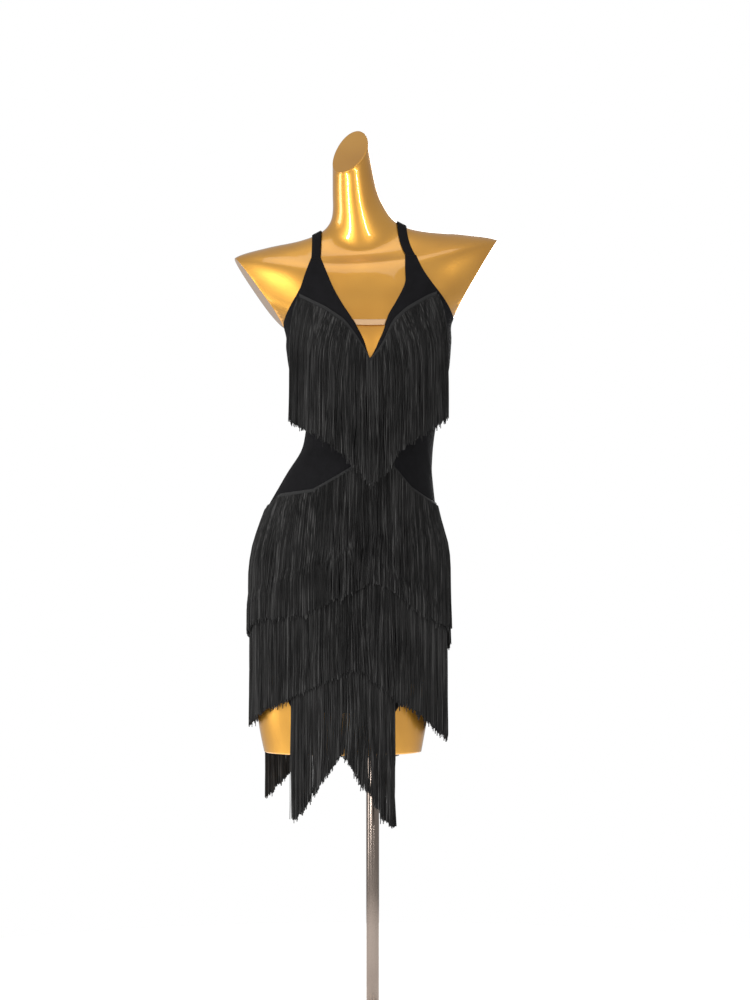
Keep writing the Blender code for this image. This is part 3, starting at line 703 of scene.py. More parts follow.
@dataclass(frozen=True)
class SkinElastic(Finish):
    """Skin-coloured ribbed elastic."""

    dark: tuple[float, float, float] = (0.42, 0.24, 0.11)
    light: tuple[float, float, float] = (0.68, 0.44, 0.24)
    rib: float = 0.0010
    rib_depth: float = 0.00025

    def dress(self, wiring: Wiring) -> None:
        """Ribs across the elastic in bump and in colour, the colour as painted shade in the
        grooves between ribs, with a fine fuzz.

        Args:
            wiring: the material being wired.
        """
        at = wiring.place_on(cloth=True)
        split = wiring.add("SeparateXYZ", {0: at})
        rib = wiring.ribs(split.outputs[1], self.rib)
        fuzz = wiring.noise(at, 1200.0, 3.0)
        # painted shade: the rib wave darkens the colour in the grooves; the fuzz is the
        # elastic's own uneven tone
        shade = wiring.weighed((fuzz, 0.6), (rib, 0.5))
        wiring.join(wiring.colours(shade, self.dark, self.light), "Base Color")
        wiring.join(wiring.bump(rib, self.rib_depth), "Normal")
        wiring.join(wiring.between(fuzz, 0.3, 0.7, 0.62, 0.80), "Roughness")
        wiring.set(Sheen_Weight=0.1, Sheen_Roughness=0.5)


@dataclass(frozen=True)
class StudioPaper(Finish):
    """Pale paper under the object, which glows a little."""

    pale: tuple[float, float, float] = (0.90, 0.90, 0.895)
    paler: tuple[float, float, float] = (0.93, 0.93, 0.925)
    glow: float = 0.62

    def dress(self, wiring: Wiring) -> None:
        """A hardly visible mottle.

        Args:
            wiring: the material being wired.
        """
        mottle = wiring.noise(wiring.place_on(), 3.0)
        wiring.join(wiring.colours(mottle, self.pale, self.paler), "Base Color")
        wiring.set(Roughness=0.9, Specular_IOR_Level=0.2, Emission_Strength=self.glow,
                   Emission_Color=(1.0, 1.0, 1.0, 1.0))


GOLD = GoldLacquer("gold_flake_paint", "gold_lacquer")
POLE_STEEL = BrushedSteel("brushed_pole", "pole_steel", grain=(1.0, 1.0, 0.02))
BASE_STEEL = BrushedSteel("brushed_plate", "base_steel", grain=(1.0, 0.03, 1.0), lines=900.0)
JERSEY = Jersey("matt_stretch_knit", "jersey")
TAPE = HeadingTape("woven_heading", "fringe_tape")
YARN = FringeYarn("chained_yarn", "fringe_yarn")
ELASTIC = SkinElastic("ribbed_elastic", "bar_elastic")
PAPER = StudioPaper("studio_paper", "")


# ---------------------------------------------------------------- finding what lies below

class Below:
    """Surfaces built so far, looked at from outside towards the upright axis."""

    nudges = ((0.0, 0.0), (0.0, 0.0009), (0.0, -0.0009))

    def __init__(self) -> None:
        """Start with nothing."""
        self.points: list[Vector] = []
        self.faces: list[list[int]] = []
        self.tree: BVHTree | None = None

    def add(self, thing: bpy.types.Object) -> None:
        """Count a piece as shown, its modifiers included.

        Args:
            thing: the piece.
        """
        shown = thing.evaluated_get(bpy.context.evaluated_depsgraph_get())
        mesh = shown.to_mesh()
        self.add_faces([vertex.co.copy() for vertex in mesh.vertices],
                       [list(face.vertices) for face in mesh.polygons])
        shown.to_mesh_clear()

    def add_faces(self, points: list[Vector], faces: list[list[int]]) -> None:
        """Count a surface given by its points and faces.

        Args:
            points: the points, in order.
            faces: point numbers of each face.
        """
        start = len(self.points)
        self.points.extend(points)
        self.faces.extend([start + index for index in face] for face in faces)
        self.tree = BVHTree.FromPolygons(self.points, self.faces)

    def look(self, turn: float, height: float) -> tuple[Vector, Vector] | None:
        """The outermost point at a turn and height, with its outward normal.

        Args:
            turn: turn round the axis in degrees.
            height: height of the level ray.

        Returns:
            Point and normal, or None where there is nothing.
        """
        nearest = REACH
        facing = None
        for aside, above in self.nudges:
            way = heading(turn + aside)
            start = Vector((AXIS.x, AXIS.y, height + above)) + way * REACH
            _, normal, _, distance = self.tree.ray_cast(start, -way, REACH)
            if normal and distance < nearest:
                nearest = distance
                facing = normal
        if facing is None:
            return None
        if facing.dot(heading(turn)) < 0.0:
            facing = -facing
        return place(turn, height, REACH - nearest), facing

    def radius(self, turn: float, height: float) -> float:
        """Distance from the axis to the outermost surface, or 0 where there is none.

        Args:
            turn: the turn round the axis, in radians.
            height: height above the floor, in metres.

        Returns:
            The distance, in metres.
        """
        found = self.look(turn, height)
        if found is None:
            return 0.0
        return math.hypot(found[0].x - AXIS.x, found[0].y - AXIS.y)

    def turn_at(self, across: float, height: float, low: float = -FRONT_TURNS,
                high: float = FRONT_TURNS) -> float:
        """The turn at which the surface lies this far across, found by halving.

        Args:
            across: place from side to side, in metres.
            height: height above the floor, in metres.
            low: the turn to search from.
            high: the turn to search to.

        Returns:
            The turn, in radians.
        """
        for _ in range(HALVINGS):
            middle = 0.5 * (low + high)
            if self.look(middle, height)[0].x < across:
                low = middle
            else:
                high = middle
        return 0.5 * (low + high)

    def outline_height(self, marks: Sequence[Mark], turn: float) -> float:
        """Height at which a column of the surface meets an outline drawn from the front.

        Args:
            marks: the outline, drawn from the front.
            turn: the turn round the axis, in radians.

        Returns:
            The height, in metres.
        """
        height = 0.5 * (marks[0].height + marks[-1].height)
        for _ in range(OUTLINE_PASSES):
            across = AXIS.x + heading(turn).x * self.radius(turn, height)
            height = 0.5 * (height + level_of(marks, across))
        return height


class Outline:
    """An outline read off a surface at even turns, evened a little."""

    def __init__(self, below: Below, marks: Sequence[Mark], first: float, last: float,
                 step: float = 1.5, even: int = 1) -> None:
        """Read the outline.

        Args:
            below: the surface that it lies on.
            marks: the outline as seen from the front.
            first: turn of its one end.
            last: turn of its other end.
            step: turn between readings.
            even: how many neighbours each reading is averaged with.
        """
        self.first = first
        self.last = last
        count = max(2, round(abs(last - first) / step))
        turns = [first + (last - first) * index / count for index in range(count + 1)]
        self.heights = evened([below.outline_height(marks, turn) for turn in turns], even)

    def turn(self, share: float) -> float:
        """Turn at a share of the way."""
        return self.first + (self.last - self.first) * share

    def height(self, turn: float) -> float:
        """Height at a turn.

        Args:
            turn: the turn round the axis, in radians.

        Returns:
            The height, in metres.
        """
        count = len(self.heights) - 1
        at = min(max((turn - self.first) / (self.last - self.first), 0.0), 1.0) * count
        index = min(int(at), count - 1)
        share = at - index
        return self.heights[index] * (1.0 - share) + self.heights[index + 1] * share


# ---------------------------------------------------------------- cloth

@dataclass(frozen=True)
class Crease:
    """A soft ridge in the cloth; lean is degrees from upright, sizes are in metres."""

    turn: float
    height: float
    lean: float
    length: float
    width: float
    rise: float

    def lift(self, turn: float, height: float) -> float:
        """How far it stands out at a place.

        Args:
            turn: the turn round the axis, in radians.
            height: height above the floor, in metres.

        Returns:
            The lift, in metres.
        """
        away = math.radians(turn - self.turn) * BODY_RADIUS
        up = height - self.height
        lean = math.radians(self.lean)
        along = up * math.cos(lean) + away * math.sin(lean)
        aside = away * math.cos(lean) - up * math.sin(lean)
        falling = math.exp(-(aside / self.width) ** 2)
        return self.rise * falling * math.exp(-(2.0 * along / self.length) ** 2)


class Lattice:
    """A grid sheet whose points are moved into place by a rule of (u, v)."""

    def __init__(self, columns: int, rows: int) -> None:
        """Start a flat grid with u running along columns and v down the rows.

        Args:
            columns: faces along u.
            rows: faces along v.
        """
        self.shape = bmesh.new()
        self.cloth = self.shape.loops.layers.uv.new(CLOTH_MAP)
        self.edge = self.shape.verts.layers.float.new(EDGE_MARK)
        bmesh.ops.create_grid(self.shape, x_segments=columns, y_segments=rows, size=0.5)
        order = sorted(self.shape.verts, key=lambda vert: (-round(vert.co.y, 5), vert.co.x))
        wide = sum(1 for vert in order if abs(vert.co.y - order[0].co.y) < 1e-5)
        self.grid = [order[start:start + wide] for start in range(0, len(order), wide)]

    def move(self, where: Callable[[float, float], Vector]) -> None:
        """Put every point where the rule says.

        Args:
            where: gives the point at (u, v).
        """
        down = len(self.grid) - 1
        across = len(self.grid[0]) - 1
        for j, row in enumerate(self.grid):
            for i, vert in enumerate(row):
                vert.co = where(i / across, j / down)

    def face_out(self) -> None:
        """Turn the faces so that they look away from the axis."""
        self.shape.normal_update()
        total = 0.0
        for face in self.shape.faces:
            middle = face.calc_center_median()
            total += face.normal.dot(Vector((middle.x - AXIS.x, middle.y, 0.0)))
        if total < 0.0:
            bmesh.ops.reverse_faces(self.shape, faces=self.shape.faces[:])

    def map_cloth(self) -> None:
        """Write the flat cloth's map in metres and the distance from the nearest edge."""
        rows = [lengths_along([vert.co for vert in row]) for row in self.grid]
        columns = [lengths_along([vert.co for vert in column]) for column in zip(*self.grid)]
        flat = {}
        for j, row in enumerate(self.grid):
            for i, vert in enumerate(row):
                left, down = rows[j][i], columns[i][j]
                flat[vert] = (left, down)
                vert[self.edge] = min(left, rows[j][-1] - left, down, columns[i][-1] - down)
        for face in self.shape.faces:
            for loop in face.loops:
                loop[self.cloth].uv = flat[loop.vert]

    def finish(self, name: str, finish: Finish, wall: float) -> bpy.types.Object:
        """Turn it into a thin closed cloth.

        Args:
            name: the piece's name.
            finish: what it is dressed in.
            wall: the cloth's thickness.

        Returns:
            The finished piece.
        """
        self.face_out()
        self.map_cloth()
        thing = add_piece(name, self.shape, finish)
        solid = thing.modifiers.new("thickness", "SOLIDIFY")
        solid.thickness = wall
        solid.offset = 1.0
        solid.use_even_offset = True
        return thing


def lengths_along(points: Sequence[Vector]) -> list[float]:
    """Length along a line of points at each of them.

    Args:
        points: the points, in order.

    Returns:
        Metres from the first point.
    """
    lengths = [0.0]
    for before, after in zip(points, points[1:]):
        lengths.append(lengths[-1] + (after - before).length)
    return lengths


@dataclass
class Panel:
    """A jersey panel that lies on the form, with its flat cut."""

    name: str
    node: str
    where: Callable[[float, float], tuple[float, float]]
    columns: int
    rows: int
    flat: tuple[float, float]
    area: float
    creases: tuple[Crease, ...] = ()
    pieces: list[bpy.types.Object] = field(default_factory=list)

    def build(self, form: Below) -> bpy.types.Object:
        """Lay the panel on the form with its creases.

        Args:
            form: the form it lies on.

        Returns:
            The panel.
        """

        def point(u: float, v: float) -> Vector:
            """Point of the panel.

            Args:
                u: share of the way along, from 0 to 1.
                v: share of the way down, from 0 to 1.

            Returns:
                The point.
            """
            turn, height = self.where(u, v)
            found, normal = form.look(turn, height)
            rise = sum(crease.lift(turn, height) for crease in self.creases)
            return found + normal * (CLOTH_LIFT + rise)

        lattice = Lattice(self.columns, self.rows)
        lattice.move(point)
        thing = lattice.finish(self.name, JERSEY, CLOTH_WALL)
        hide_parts(self.node)
        return thing

    def declare(self, thing: bpy.types.Object) -> None:
        """Make a list of the pieces sewn to it, which is then dropped."""
        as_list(self.pieces)


@dataclass
class HalterFront:
    """One front of the bodice: a strip on the chest that widens to half the waist."""

    side: Side
    rows: tuple[Row, ...]
    chest_share: float = 0.48
    steps: int = 4

    def level(self, form: Below, index: int, share: float, outer: float
              ) -> tuple[float, float, float]:
        """One level of the chest part.

        Args:
            form: the form it lies on.
            index: the row above it.
            share: how far down to the next row.
            outer: turn of the side seam.

        Returns:
            Turn of the inner edge, turn of the outer edge, and height.
        """
        last = len(self.rows) - 1
        four = [self.rows[min(max(index + shift, 0), last)] for shift in (-1, 0, 1, 2)]
        height = smooth_value(*(row.height for row in four), share)
        inside = self.edge(form, [row.inner for row in four], four, share, 0.0)
        outside = self.edge(form, [row.outer for row in four], four, share, outer)
        return inside, outside, height

    def edge(self, form: Below, values: list[float | None], rows: list[Row], share: float,
             seam: float) -> float:
        """Turn of one edge at a level.

        Args:
            form: the form it lies on.
            values: how far across the edge is in four rows, None where it is the seam.
            rows: those rows.
            share: how far down between the second and the third.
            seam: turn of the seam that the edge runs into.

        Returns:
            The turn.
        """
        if values[2] is None:
            start = seam if values[1] is None else form.turn_at(values[1], rows[1].height)
            return start + (seam - start) * share
        ahead = values[2] if values[3] is None else values[3]
        across = smooth_value(values[0], values[1], values[2], ahead, share)
        return form.turn_at(across, smooth_value(*(row.height for row in rows), share))

    def rule(self, form: Below) -> Callable[[float, float], tuple[float, float]]:
        """The rule from (u, v) to turn and height.

        Args:
            form: the form it lies on.

        Returns:
            The rule, with u from the neckline outwards and v from the strap down.
        """
        outer = -SIDE_TURN if self.side is Side.LEFT else SIDE_TURN
        table = []
        for index in range(len(self.rows) - 1):
            for step in range(self.steps):
                table.append(self.level(form, index, step / self.steps, outer))
        table.append((0.0, outer, self.rows[-1].height))
        seam = Outline(form, TIER_2_FRONT, 0.0, outer)
        low = self.rows[-1].height

        def where(u: float, v: float) -> tuple[float, float]:
            """Turn and height at (u, v).

            Args:
                u: share of the way along, from 0 to 1.
                v: share of the way down, from 0 to 1.

            Returns:
                The turn and the height.
            """
            if v <= self.chest_share:
                inside, outside, height = smooth_row(table, v / self.chest_share)
                return inside + (outside - inside) * u, height
            turn = outer * u
            share = (v - self.chest_share) / (1.0 - self.chest_share)
            return turn, low + (seam.height(turn) - TAPE_DROP / 2 - low) * share

        return where


def between_rule(top: Callable[[float], float], bottom: Callable[[float], float], first: float,
                 last: float) -> Callable[[float, float], tuple[float, float]]:
    """A rule for a panel between two edges.

    Args:
        top: height of the top edge at a turn.
        bottom: height of the bottom edge at a turn.
        first: turn of the one side seam.
        last: turn of the other.

    Returns:
        The rule from (u, v) to turn and height.
    """

    def where(u: float, v: float) -> tuple[float, float]:
        """Turn and height at (u, v)."""
        turn = first + (last - first) * u
        return turn, top(turn) + (bottom(turn) - top(turn)) * v

    return where


# ---------------------------------------------------------------- form and stand

@dataclass
class DressForm:
    """Limbless lacquered form, cut off flat at the neck, the arms and the bottom."""

    columns: int = 132
    rows: int = 190
    rounding_steps: int = 4
    flat_rim: float = 0.005
    least_edge: float = 0.0009
    softened: tuple[float, float] = (1.290, 1.428)
    softened_taper: float = 0.034
    softened_reach: float = 0.135
    softenings: int = 44

    def point(self, u: float, v: float) -> Vector:
        """A point of the form; u goes round and v goes down.

        Args:
            u: share of the way round.
            v: share of the way down, from 0 to 1.

        Returns:
            The point.
        """
        ring = Ring(*smooth_row(FORM_RINGS, 1.0 - v))
        side = math.sin(math.tau * u)
        ahead = math.cos(math.tau * u)
        across = ring.centre + ring.half_width * side
        depth = ring.front if ahead > 0.0 else ring.back
        drop = ring.front_drop if ahead > 0.0 else ring.back_drop
        height = ring.height + ring.tilt * (across - ring.centre) - drop * ahead ** 2
        swell = self.cup_rise(across, height) * max(ahead, 0.0)
        return Vector((across, -depth * ahead - swell, height))

    def cup_rise(self, across: float, height: float) -> float:
        """How far the cups push the front out at a place.

        Args:
            across: place from side to side, in metres.
            height: height above the floor, in metres.

        Returns:
            Metres.
        """
        rise = 0.0
        for cup in CUPS:
            spread = cup.spread_up if height > cup.height else cup.spread_down
            sideways = (across - cup.across) / cup.spread_across
            upright = (height - cup.height) / spread
            rise += cup.rise * math.exp(-0.5 * (sideways ** 2 + upright ** 2))
        return rise

    def cut_round(self, shape: bmesh.types.BMesh, cut: Cut) -> None:
        """Cut an end off flat and close it with a face whose rim is rounded.

        Args:
            shape: the form.
            cut: where and which way.
        """
        facing = Vector(cut.facing).normalized()
        at = Vector(cut.point) - facing * cut.rounding
        faces = [face for face in shape.faces if all(v.co.z > cut.above for v in face.verts)]
        edges = {edge for face in faces for edge in face.edges}
        verts = {vert for face in faces for vert in face.verts}
        made = bmesh.ops.bisect_plane(shape, geom=faces + list(edges) + list(verts), dist=TINY,
                                      plane_co=at, plane_no=facing, clear_outer=True)
        rim = {item for item in made["geom_cut"] if isinstance(item, bmesh.types.BMVert)}
        bmesh.ops.remove_doubles(shape, verts=list(rim), dist=self.least_edge)
        open_rim = [edge for edge in shape.edges if edge.is_boundary
                    and all(abs((v.co - at).dot(facing)) < 1e-4 for v in edge.verts)]
        cap = bmesh.ops.holes_fill(shape, edges=open_rim, sides=0)["faces"]
        if cap[0].normal.dot(facing) < 0.0:
            bmesh.ops.reverse_faces(shape, faces=cap)
        self.round_rim(shape, cap, cut.rounding)

    def round_rim(self, shape: bmesh.types.BMesh, cap: list[bmesh.types.BMFace],
                  rounding: float) -> None:
        """Raise the cap in small steps along a quarter circle, then leave a flat rim.

        Args:
            shape: the form's mesh.
            cap: the faces that close the cut.
            rounding: radius of the rim, in metres.
        """
        inset, height = 0.0, 0.0
        for step in range(1, self.rounding_steps + 1):
            angle = 0.5 * math.pi * step / self.rounding_steps
            next_inset = rounding * (1.0 - math.cos(angle))
            next_height = rounding * math.sin(angle)
            bmesh.ops.inset_region(shape, faces=cap, thickness=next_inset - inset,
                                   depth=next_height - height, use_even_offset=True,
                                   use_boundary=True)
            inset, height = next_inset, next_height
        bmesh.ops.inset_region(shape, faces=cap, thickness=self.flat_rim, use_even_offset=True,
                               use_boundary=True)
        bmesh.ops.triangulate(shape, faces=cap)

    def soften(self, shape: bmesh.types.BMesh) -> None:
        """Ease the chest into the neck, in a band that narrows from pass to pass.

        Args:
            shape: the form's mesh.
        """
        low, high = self.softened
        chest = [vert for vert in shape.verts
                 if low < vert.co.z < high and abs(vert.co.x) < self.softened_reach]
        for index in range(self.softenings):
            inset = self.softened_taper * index / self.softenings
            band = [vert for vert in chest if low + inset < vert.co.z < high - inset]
            bmesh.ops.smooth_vert(shape, verts=band, factor=0.5, use_axis_x=True,
                                  use_axis_y=True, use_axis_z=True)

    def build(self) -> bpy.types.Object:
        """Loft the rings, close the seam, ease the chest and cut the ends.

        Returns:
            The form.
        """
        lattice = Lattice(self.columns, self.rows)
        lattice.move(self.point)
        shape = lattice.shape
        bmesh.ops.remove_doubles(shape, verts=shape.verts[:], dist=TINY)
        lattice.face_out()
        self.soften(shape)
        for cut in FORM_CUTS:
            self.cut_round(shape, cut)
        thing = add_piece("gold_form", shape, GOLD)
        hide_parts("form_body")
        return thing


@dataclass(frozen=True)
class Turning:
    """A turned metal part, by its profile of (radius, height) from the bottom up."""

    name: str
    node: str
    finish: Finish
    profile: tuple[tuple[float, float], ...]
    bevel: float
    sides: int = 96
    sharp: float = 25.0

    def build(self) -> bpy.types.Object:
        """Spin the profile and soften its sharp edges.

        Returns:
            The turned part.
        """
        shape = bmesh.new()
        verts = [shape.verts.new((radius, 0.0, height)) for radius, height in self.profile]
        edges = [shape.edges.new(pair) for pair in zip(verts, verts[1:])]
        bmesh.ops.spin(shape, geom=verts + edges, cent=(0.0, 0.0, 0.0), axis=(0.0, 0.0, 1.0),
                       angle=math.tau, steps=self.sides, use_merge=True)
        bmesh.ops.remove_doubles(shape, verts=shape.verts[:], dist=TINY)
        bmesh.ops.recalc_face_normals(shape, faces=shape.faces[:])
        turned = [edge for edge in shape.edges if edge.is_manifold
                  and edge.calc_face_angle() > math.radians(self.sharp)]
        bmesh.ops.bevel(shape, geom=turned, offset=self.bevel, segments=3, profile=0.5,
                        affect="EDGES", material=-1)
        thing = add_piece(self.name, shape, self.finish)
        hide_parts(self.node)
        return thing


@dataclass
class Stand:
    """Base plate, foot collar, pole and the flange plate under the form."""

    def profile(self, node: str, radius: float) -> tuple[tuple[float, float], ...]:
        """The plain upright profile that fills a node's height."""
        low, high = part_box(node)
        return ((0.0, low.z), (radius, low.z), (radius, high.z), (0.0, high.z))

    def build(self) -> list[bpy.types.Object]:
        """Turn the four parts.

        Returns:
            The four parts.
        """
        parts = (
            Turning("base_plate", "stand_base", BASE_STEEL,
                    self.profile("stand_base", 0.190), 0.0024, sides=128),
            Turning("foot_collar", "stand_collar", BASE_STEEL,
                    self.profile("stand_collar", 0.028), 0.0030),
            Turning("pole", "stand_pole", POLE_STEEL,
                    self.profile("stand_pole", 0.011), 0.0006),
            Turning("flange_plate", "form_flange", BASE_STEEL,
                    self.profile("form_flange", 0.045), 0.0012),
        )
        return [part.build() for part in parts]


# ---------------------------------------------------------------- fringe

@dataclass(frozen=True)
class Strands:
    """How the strands of one fringe are made; sizes in metres.

    Clumps, locks and grooves are three sizes of unevenness, each with how far it moves a strand
    and how closely it repeats. Loose strands swing out of the rest towards their ends.
    """

    pitch: float = 0.00135
    layers: int = 3
    layer_step: float = 0.0009
    thickness: float = 0.00062
    points: int = 11
    clump: float = 0.0050
    clump_scale: float = 48.0
    lock: float = 0.0020
    lock_scale: float = 210.0
    groove: float = 0.0024
    groove_scale: float = 85.0
    shiver: float = 0.00035
    shiver_turns: float = 17.0
    drift: float = 0.0007
    start_out: float = 0.0003
    freed: float = 1.6
    loose_share: float = 0.06
    loose_out: float = 0.0022
    loose_aside: float = 0.0030
    ragged: float = 0.0048
    ragged_scale: float = 75.0
    long_share: float = 0.08
    long_by: float = 0.0090
    tuft: float = 1.35


@dataclass
class Curtain:
    """The surface that a fringe hangs in: its radii by turn and height."""

    outline: Outline
    length: float
    fan: float
    fanned: float = 0.45
    step: float = 2.5
    rows: int = 26
    looks: int = 3
    behind_tape: float = 0.7 * TAPE_DROP

    def measure(self, below: Below) -> None:
        """Find the radii: a strand hangs straight down once it has left the body.

        Args:
            below: all that lies under it.
        """
        count = max(3, round(abs(self.outline.last - self.outline.first) / self.step))
        self.columns = []
        for index in range(count + 1):
            turn = self.outline.turn(index / count)
            self.columns.append(self.hang(below, turn))
        smooth = [evened(row, 2) for row in zip(*self.columns)]
        rows = zip(zip(*self.columns), smooth)
        held = [[max(raw, soft) for raw, soft in zip(*pair)] for pair in rows]
        self.columns = [list(column) for column in zip(*[evened(row, 1) for row in held])]

    def hang(self, below: Below, turn: float) -> list[float]:
        """Radii down one strand, which never moves in again.

        Args:
            below: all that lies under it.
            turn: the turn round the axis, in radians.

        Returns:
            The radii from the top down, in metres.
        """
        top = self.outline.height(turn) - self.behind_tape
        reach = 0.0
        radii = []
        for row in range(self.rows + 1):
            share = row / self.rows
            at = turn * self.spread(share)
            for part in range(self.looks):
                height = top - self.length * max(share - part / (self.rows * self.looks), 0.0)
                reach = max(reach, below.radius(at, height))
            radii.append(reach + FRINGE_LIFT)
        return radii

    def spread(self, share: float) -> float:
        """How much wider the strands stand at a share of their length."""
        return 1.0 + (self.fan - 1.0) * soft_step(0.5 + 0.5 * share / self.fanned) * 2.0 - (
            self.fan - 1.0)

    def radius(self, along: float, down: float) -> float:
        """Radius at a share along the heading and a share of the length.

        Args:
            along: share along the heading.
            down: share of the length, from the top.

        Returns:
            The radius, in metres.
        """
        last = len(self.columns) - 1
        at = min(max(along, 0.0), 1.0) * last
        i = min(int(at), last - 1)
        deep = min(max(down, 0.0), 1.0) * self.rows
        j = min(int(deep), self.rows - 1)
        p, q = at - i, deep - j
        near = self.columns[i][j] * (1.0 - q) + self.columns[i][j + 1] * q
        far = self.columns[i + 1][j] * (1.0 - q) + self.columns[i + 1][j + 1] * q
        return near * (1.0 - p) + far * p

    def point(self, along: float, down: float, aside: float, out: float) -> Vector:
        """A point in the curtain.

        Args:
            along: share along the heading.
            down: share of the length; it may pass 1 for a long strand.
            aside: metres to the side.
            out: metres outwards.

        Returns:
            The point.
        """
        turn = self.outline.turn(along)
        top = self.outline.height(turn) - self.behind_tape
        radius = self.radius(along, down)
        at = turn * self.spread(min(down, 1.0)) + math.degrees(aside / radius)
        return place(at, top - self.length * down, radius + out)

    def width(self) -> float:
        """Length round the curtain, a little above its middle.

        Returns:
            The length, in metres.
        """
        steps, middle = 40, 0.4
        points = [self.point(index / steps, middle, 0.0, 0.0) for index in range(steps + 1)]
        return lengths_along(points)[-1]

    def cover(self, below: Below) -> None:
        """Count the fringe's outer face among what lies below the next tier.

        Args:
            below: all that lies under it.
        """
        across = len(self.columns) - 1
        points = []
        for j in range(self.rows + 1):
            for i in range(across + 1):
                points.append(self.point(i / across, j / self.rows, 0.0, FRINGE_DEPTH))
        faces = []
        for j in range(self.rows):
            for i in range(across):
                first = j * (across + 1) + i
                faces.append([first, first + 1, first + across + 2, first + across + 1])
        below.add_faces(points, faces)


@dataclass
class FringeTier:
    """One tier: its heading tape and the strands that hang from it."""

    name: str
    marks: tuple[Mark, ...]
    ends: tuple[float, float] | None
    length: float
    fan: float
    seed: int
    strands: Strands = Strands()
    tape_step: float = 0.0022
    tape_rise: float = 0.0005

    def side_ends(self, below: Below) -> tuple[float, float]:
        """Turns of the heading's two ends.

        Args:
            below: all that lies under it.

        Returns:
            The two turns, in radians.
        """
        if self.ends is not None:
            return self.ends
        low, high = self.marks[0], self.marks[-1]
        if self.name.endswith(Face.BACK.value):
            turns = (3.0 * SIDE_TURN, SIDE_TURN)
            return (below.turn_at(high.across, high.height, *turns),
                    below.turn_at(low.across, low.height, *turns))
        return (below.turn_at(low.across, low.height), below.turn_at(high.across, high.height))

    def build(self, below: Below) -> list[bpy.types.Object]:
        """Lay the tape, hang the strands.

        Args:
            below: all that lies under it.

        Returns:
            The tape and the strands.
        """
        outline = Outline(below, self.marks, *self.side_ends(below))
        tape = self.build_tape(below, outline)
        self.curtain = Curtain(outline, self.length, self.fan)
        self.curtain.measure(below)
        return [tape, self.build_strands()]

    def build_tape(self, below: Below, outline: Outline) -> bpy.types.Object:
        """The heading tape, a little rounded across.

        Args:
            below: all that lies under it.
            outline: the heading's outline.

        Returns:
            The tape.
        """
        turns = (outline.first, outline.last)
        ends = [place(turn, 0.0, below.radius(turn, outline.height(turn))) for turn in turns]
        columns = max(24, round(1.35 * (ends[1] - ends[0]).length / self.tape_step))

        def point(u: float, v: float) -> Vector:
            """Point of the tape.

            Args:
                u: share of the way along, from 0 to 1.
                v: share of the way down, from 0 to 1.

            Returns:
                The point.
            """
            turn = outline.turn(u)
            found, normal = below.look(turn, outline.height(turn) - TAPE_DROP * v)
            return found + normal * (TAPE_LIFT + self.tape_rise * math.sin(math.pi * v))

        lattice = Lattice(columns, 5)
        lattice.move(point)
        thing = lattice.finish(f"heading_{self.name}", TAPE, TAPE_WALL)
        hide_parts(f"tape_{self.name}")
        return thing

    def path(self, chance: random.Random, along: float, layer: int, metres: float
             ) -> list[tuple[Vector, float]]:
        """Points and relative thicknesses of one strand.

        Args:
            chance: the tier's own random numbers.
            along: share along the heading.
            layer: 0 is the innermost.
            metres: place along the heading in metres.

        Returns:
            The points with their thicknesses.
        """
        look = self.strands
        end = self.end_share(chance, metres)
        stout = chance.uniform(0.80, 1.15)
        phase = chance.uniform(0.0, math.tau)
        drift = chance.gauss(0.0, look.drift)
        loose = chance.random() < look.loose_share
        points = []
        for index in range(look.points):
            share = index / (look.points - 1)
            down = end * share
            free = soft_step(down * look.freed)
            aside = (look.clump * noise.noise((metres * look.clump_scale, down * 1.1, self.seed))
                     + look.lock * noise.noise((metres * look.lock_scale, down * 2.2,
                                                self.seed + 9.0)) + drift) * free
            aside += look.shiver * math.sin(phase + look.shiver_turns * down) * free
            groove = noise.noise((metres * look.groove_scale, down * 1.4, self.seed + 31.0))
            out = (look.start_out + layer * look.layer_step
                   + look.groove * max(groove, -0.5) * free)
            if loose:
                out += look.loose_out * share * share
                aside += look.loose_aside * math.sin(phase) * share * share
            stoutness = stout * (look.tuft if index >= look.points - 2 else 1.0)
            points.append((self.curtain.point(along, down, aside, out), stoutness))
        return points

    def end_share(self, chance: random.Random, metres: float) -> float:
        """Where a strand ends, as a share of the length: ragged, with a few long ones.

        Args:
            chance: the tier's own random draws.
            metres: the strand's place along the curtain.

        Returns:
            The share, near 1.
        """
        look = self.strands
        by = look.ragged * noise.noise((metres * look.ragged_scale, 3.7, self.seed + 50.0))
        by += chance.gauss(0.0, 0.45 * look.ragged)
        if chance.random() < look.long_share:
            by += chance.uniform(0.3, 1.0) * look.long_by
        return 1.0 + by / self.length

    def build_strands(self) -> bpy.types.Object:
        """All strands of the tier as one mesh of thin tubes.

        Returns:
            The strands.
        """
        look = self.strands
        chance = random.Random(self.seed)
        width = self.curtain.width()
        count = round(width / look.pitch)
        curve = bpy.data.curves.new(f"strands_{self.name}_line", "CURVE")
        curve.dimensions = "3D"
        curve.bevel_depth = look.thickness
        curve.bevel_resolution = 0
        curve.use_fill_caps = True
        for layer in range(look.layers):
            for index in range(count):
                along = (index + layer / look.layers + chance.uniform(-0.3, 0.3)) / count
                along = min(max(along, 0.0), 1.0)
                spline = curve.splines.new("POLY")
                spline.points.add(look.points - 1)
                path = self.path(chance, along, layer, along * width)
                spline.points.foreach_set("co", [value for point, _ in path
                                                 for value in (*point, 1.0)])
                spline.points.foreach_set("radius", [stout for _, stout in path])
        holder = bpy.data.objects.new(f"strands_{self.name}_holder", curve)
        mesh = bpy.data.meshes.new_from_object(holder)
        bpy.data.objects.remove(holder)
        bpy.data.curves.remove(curve)
        return self.dress(mesh, look.layers * count, chance)

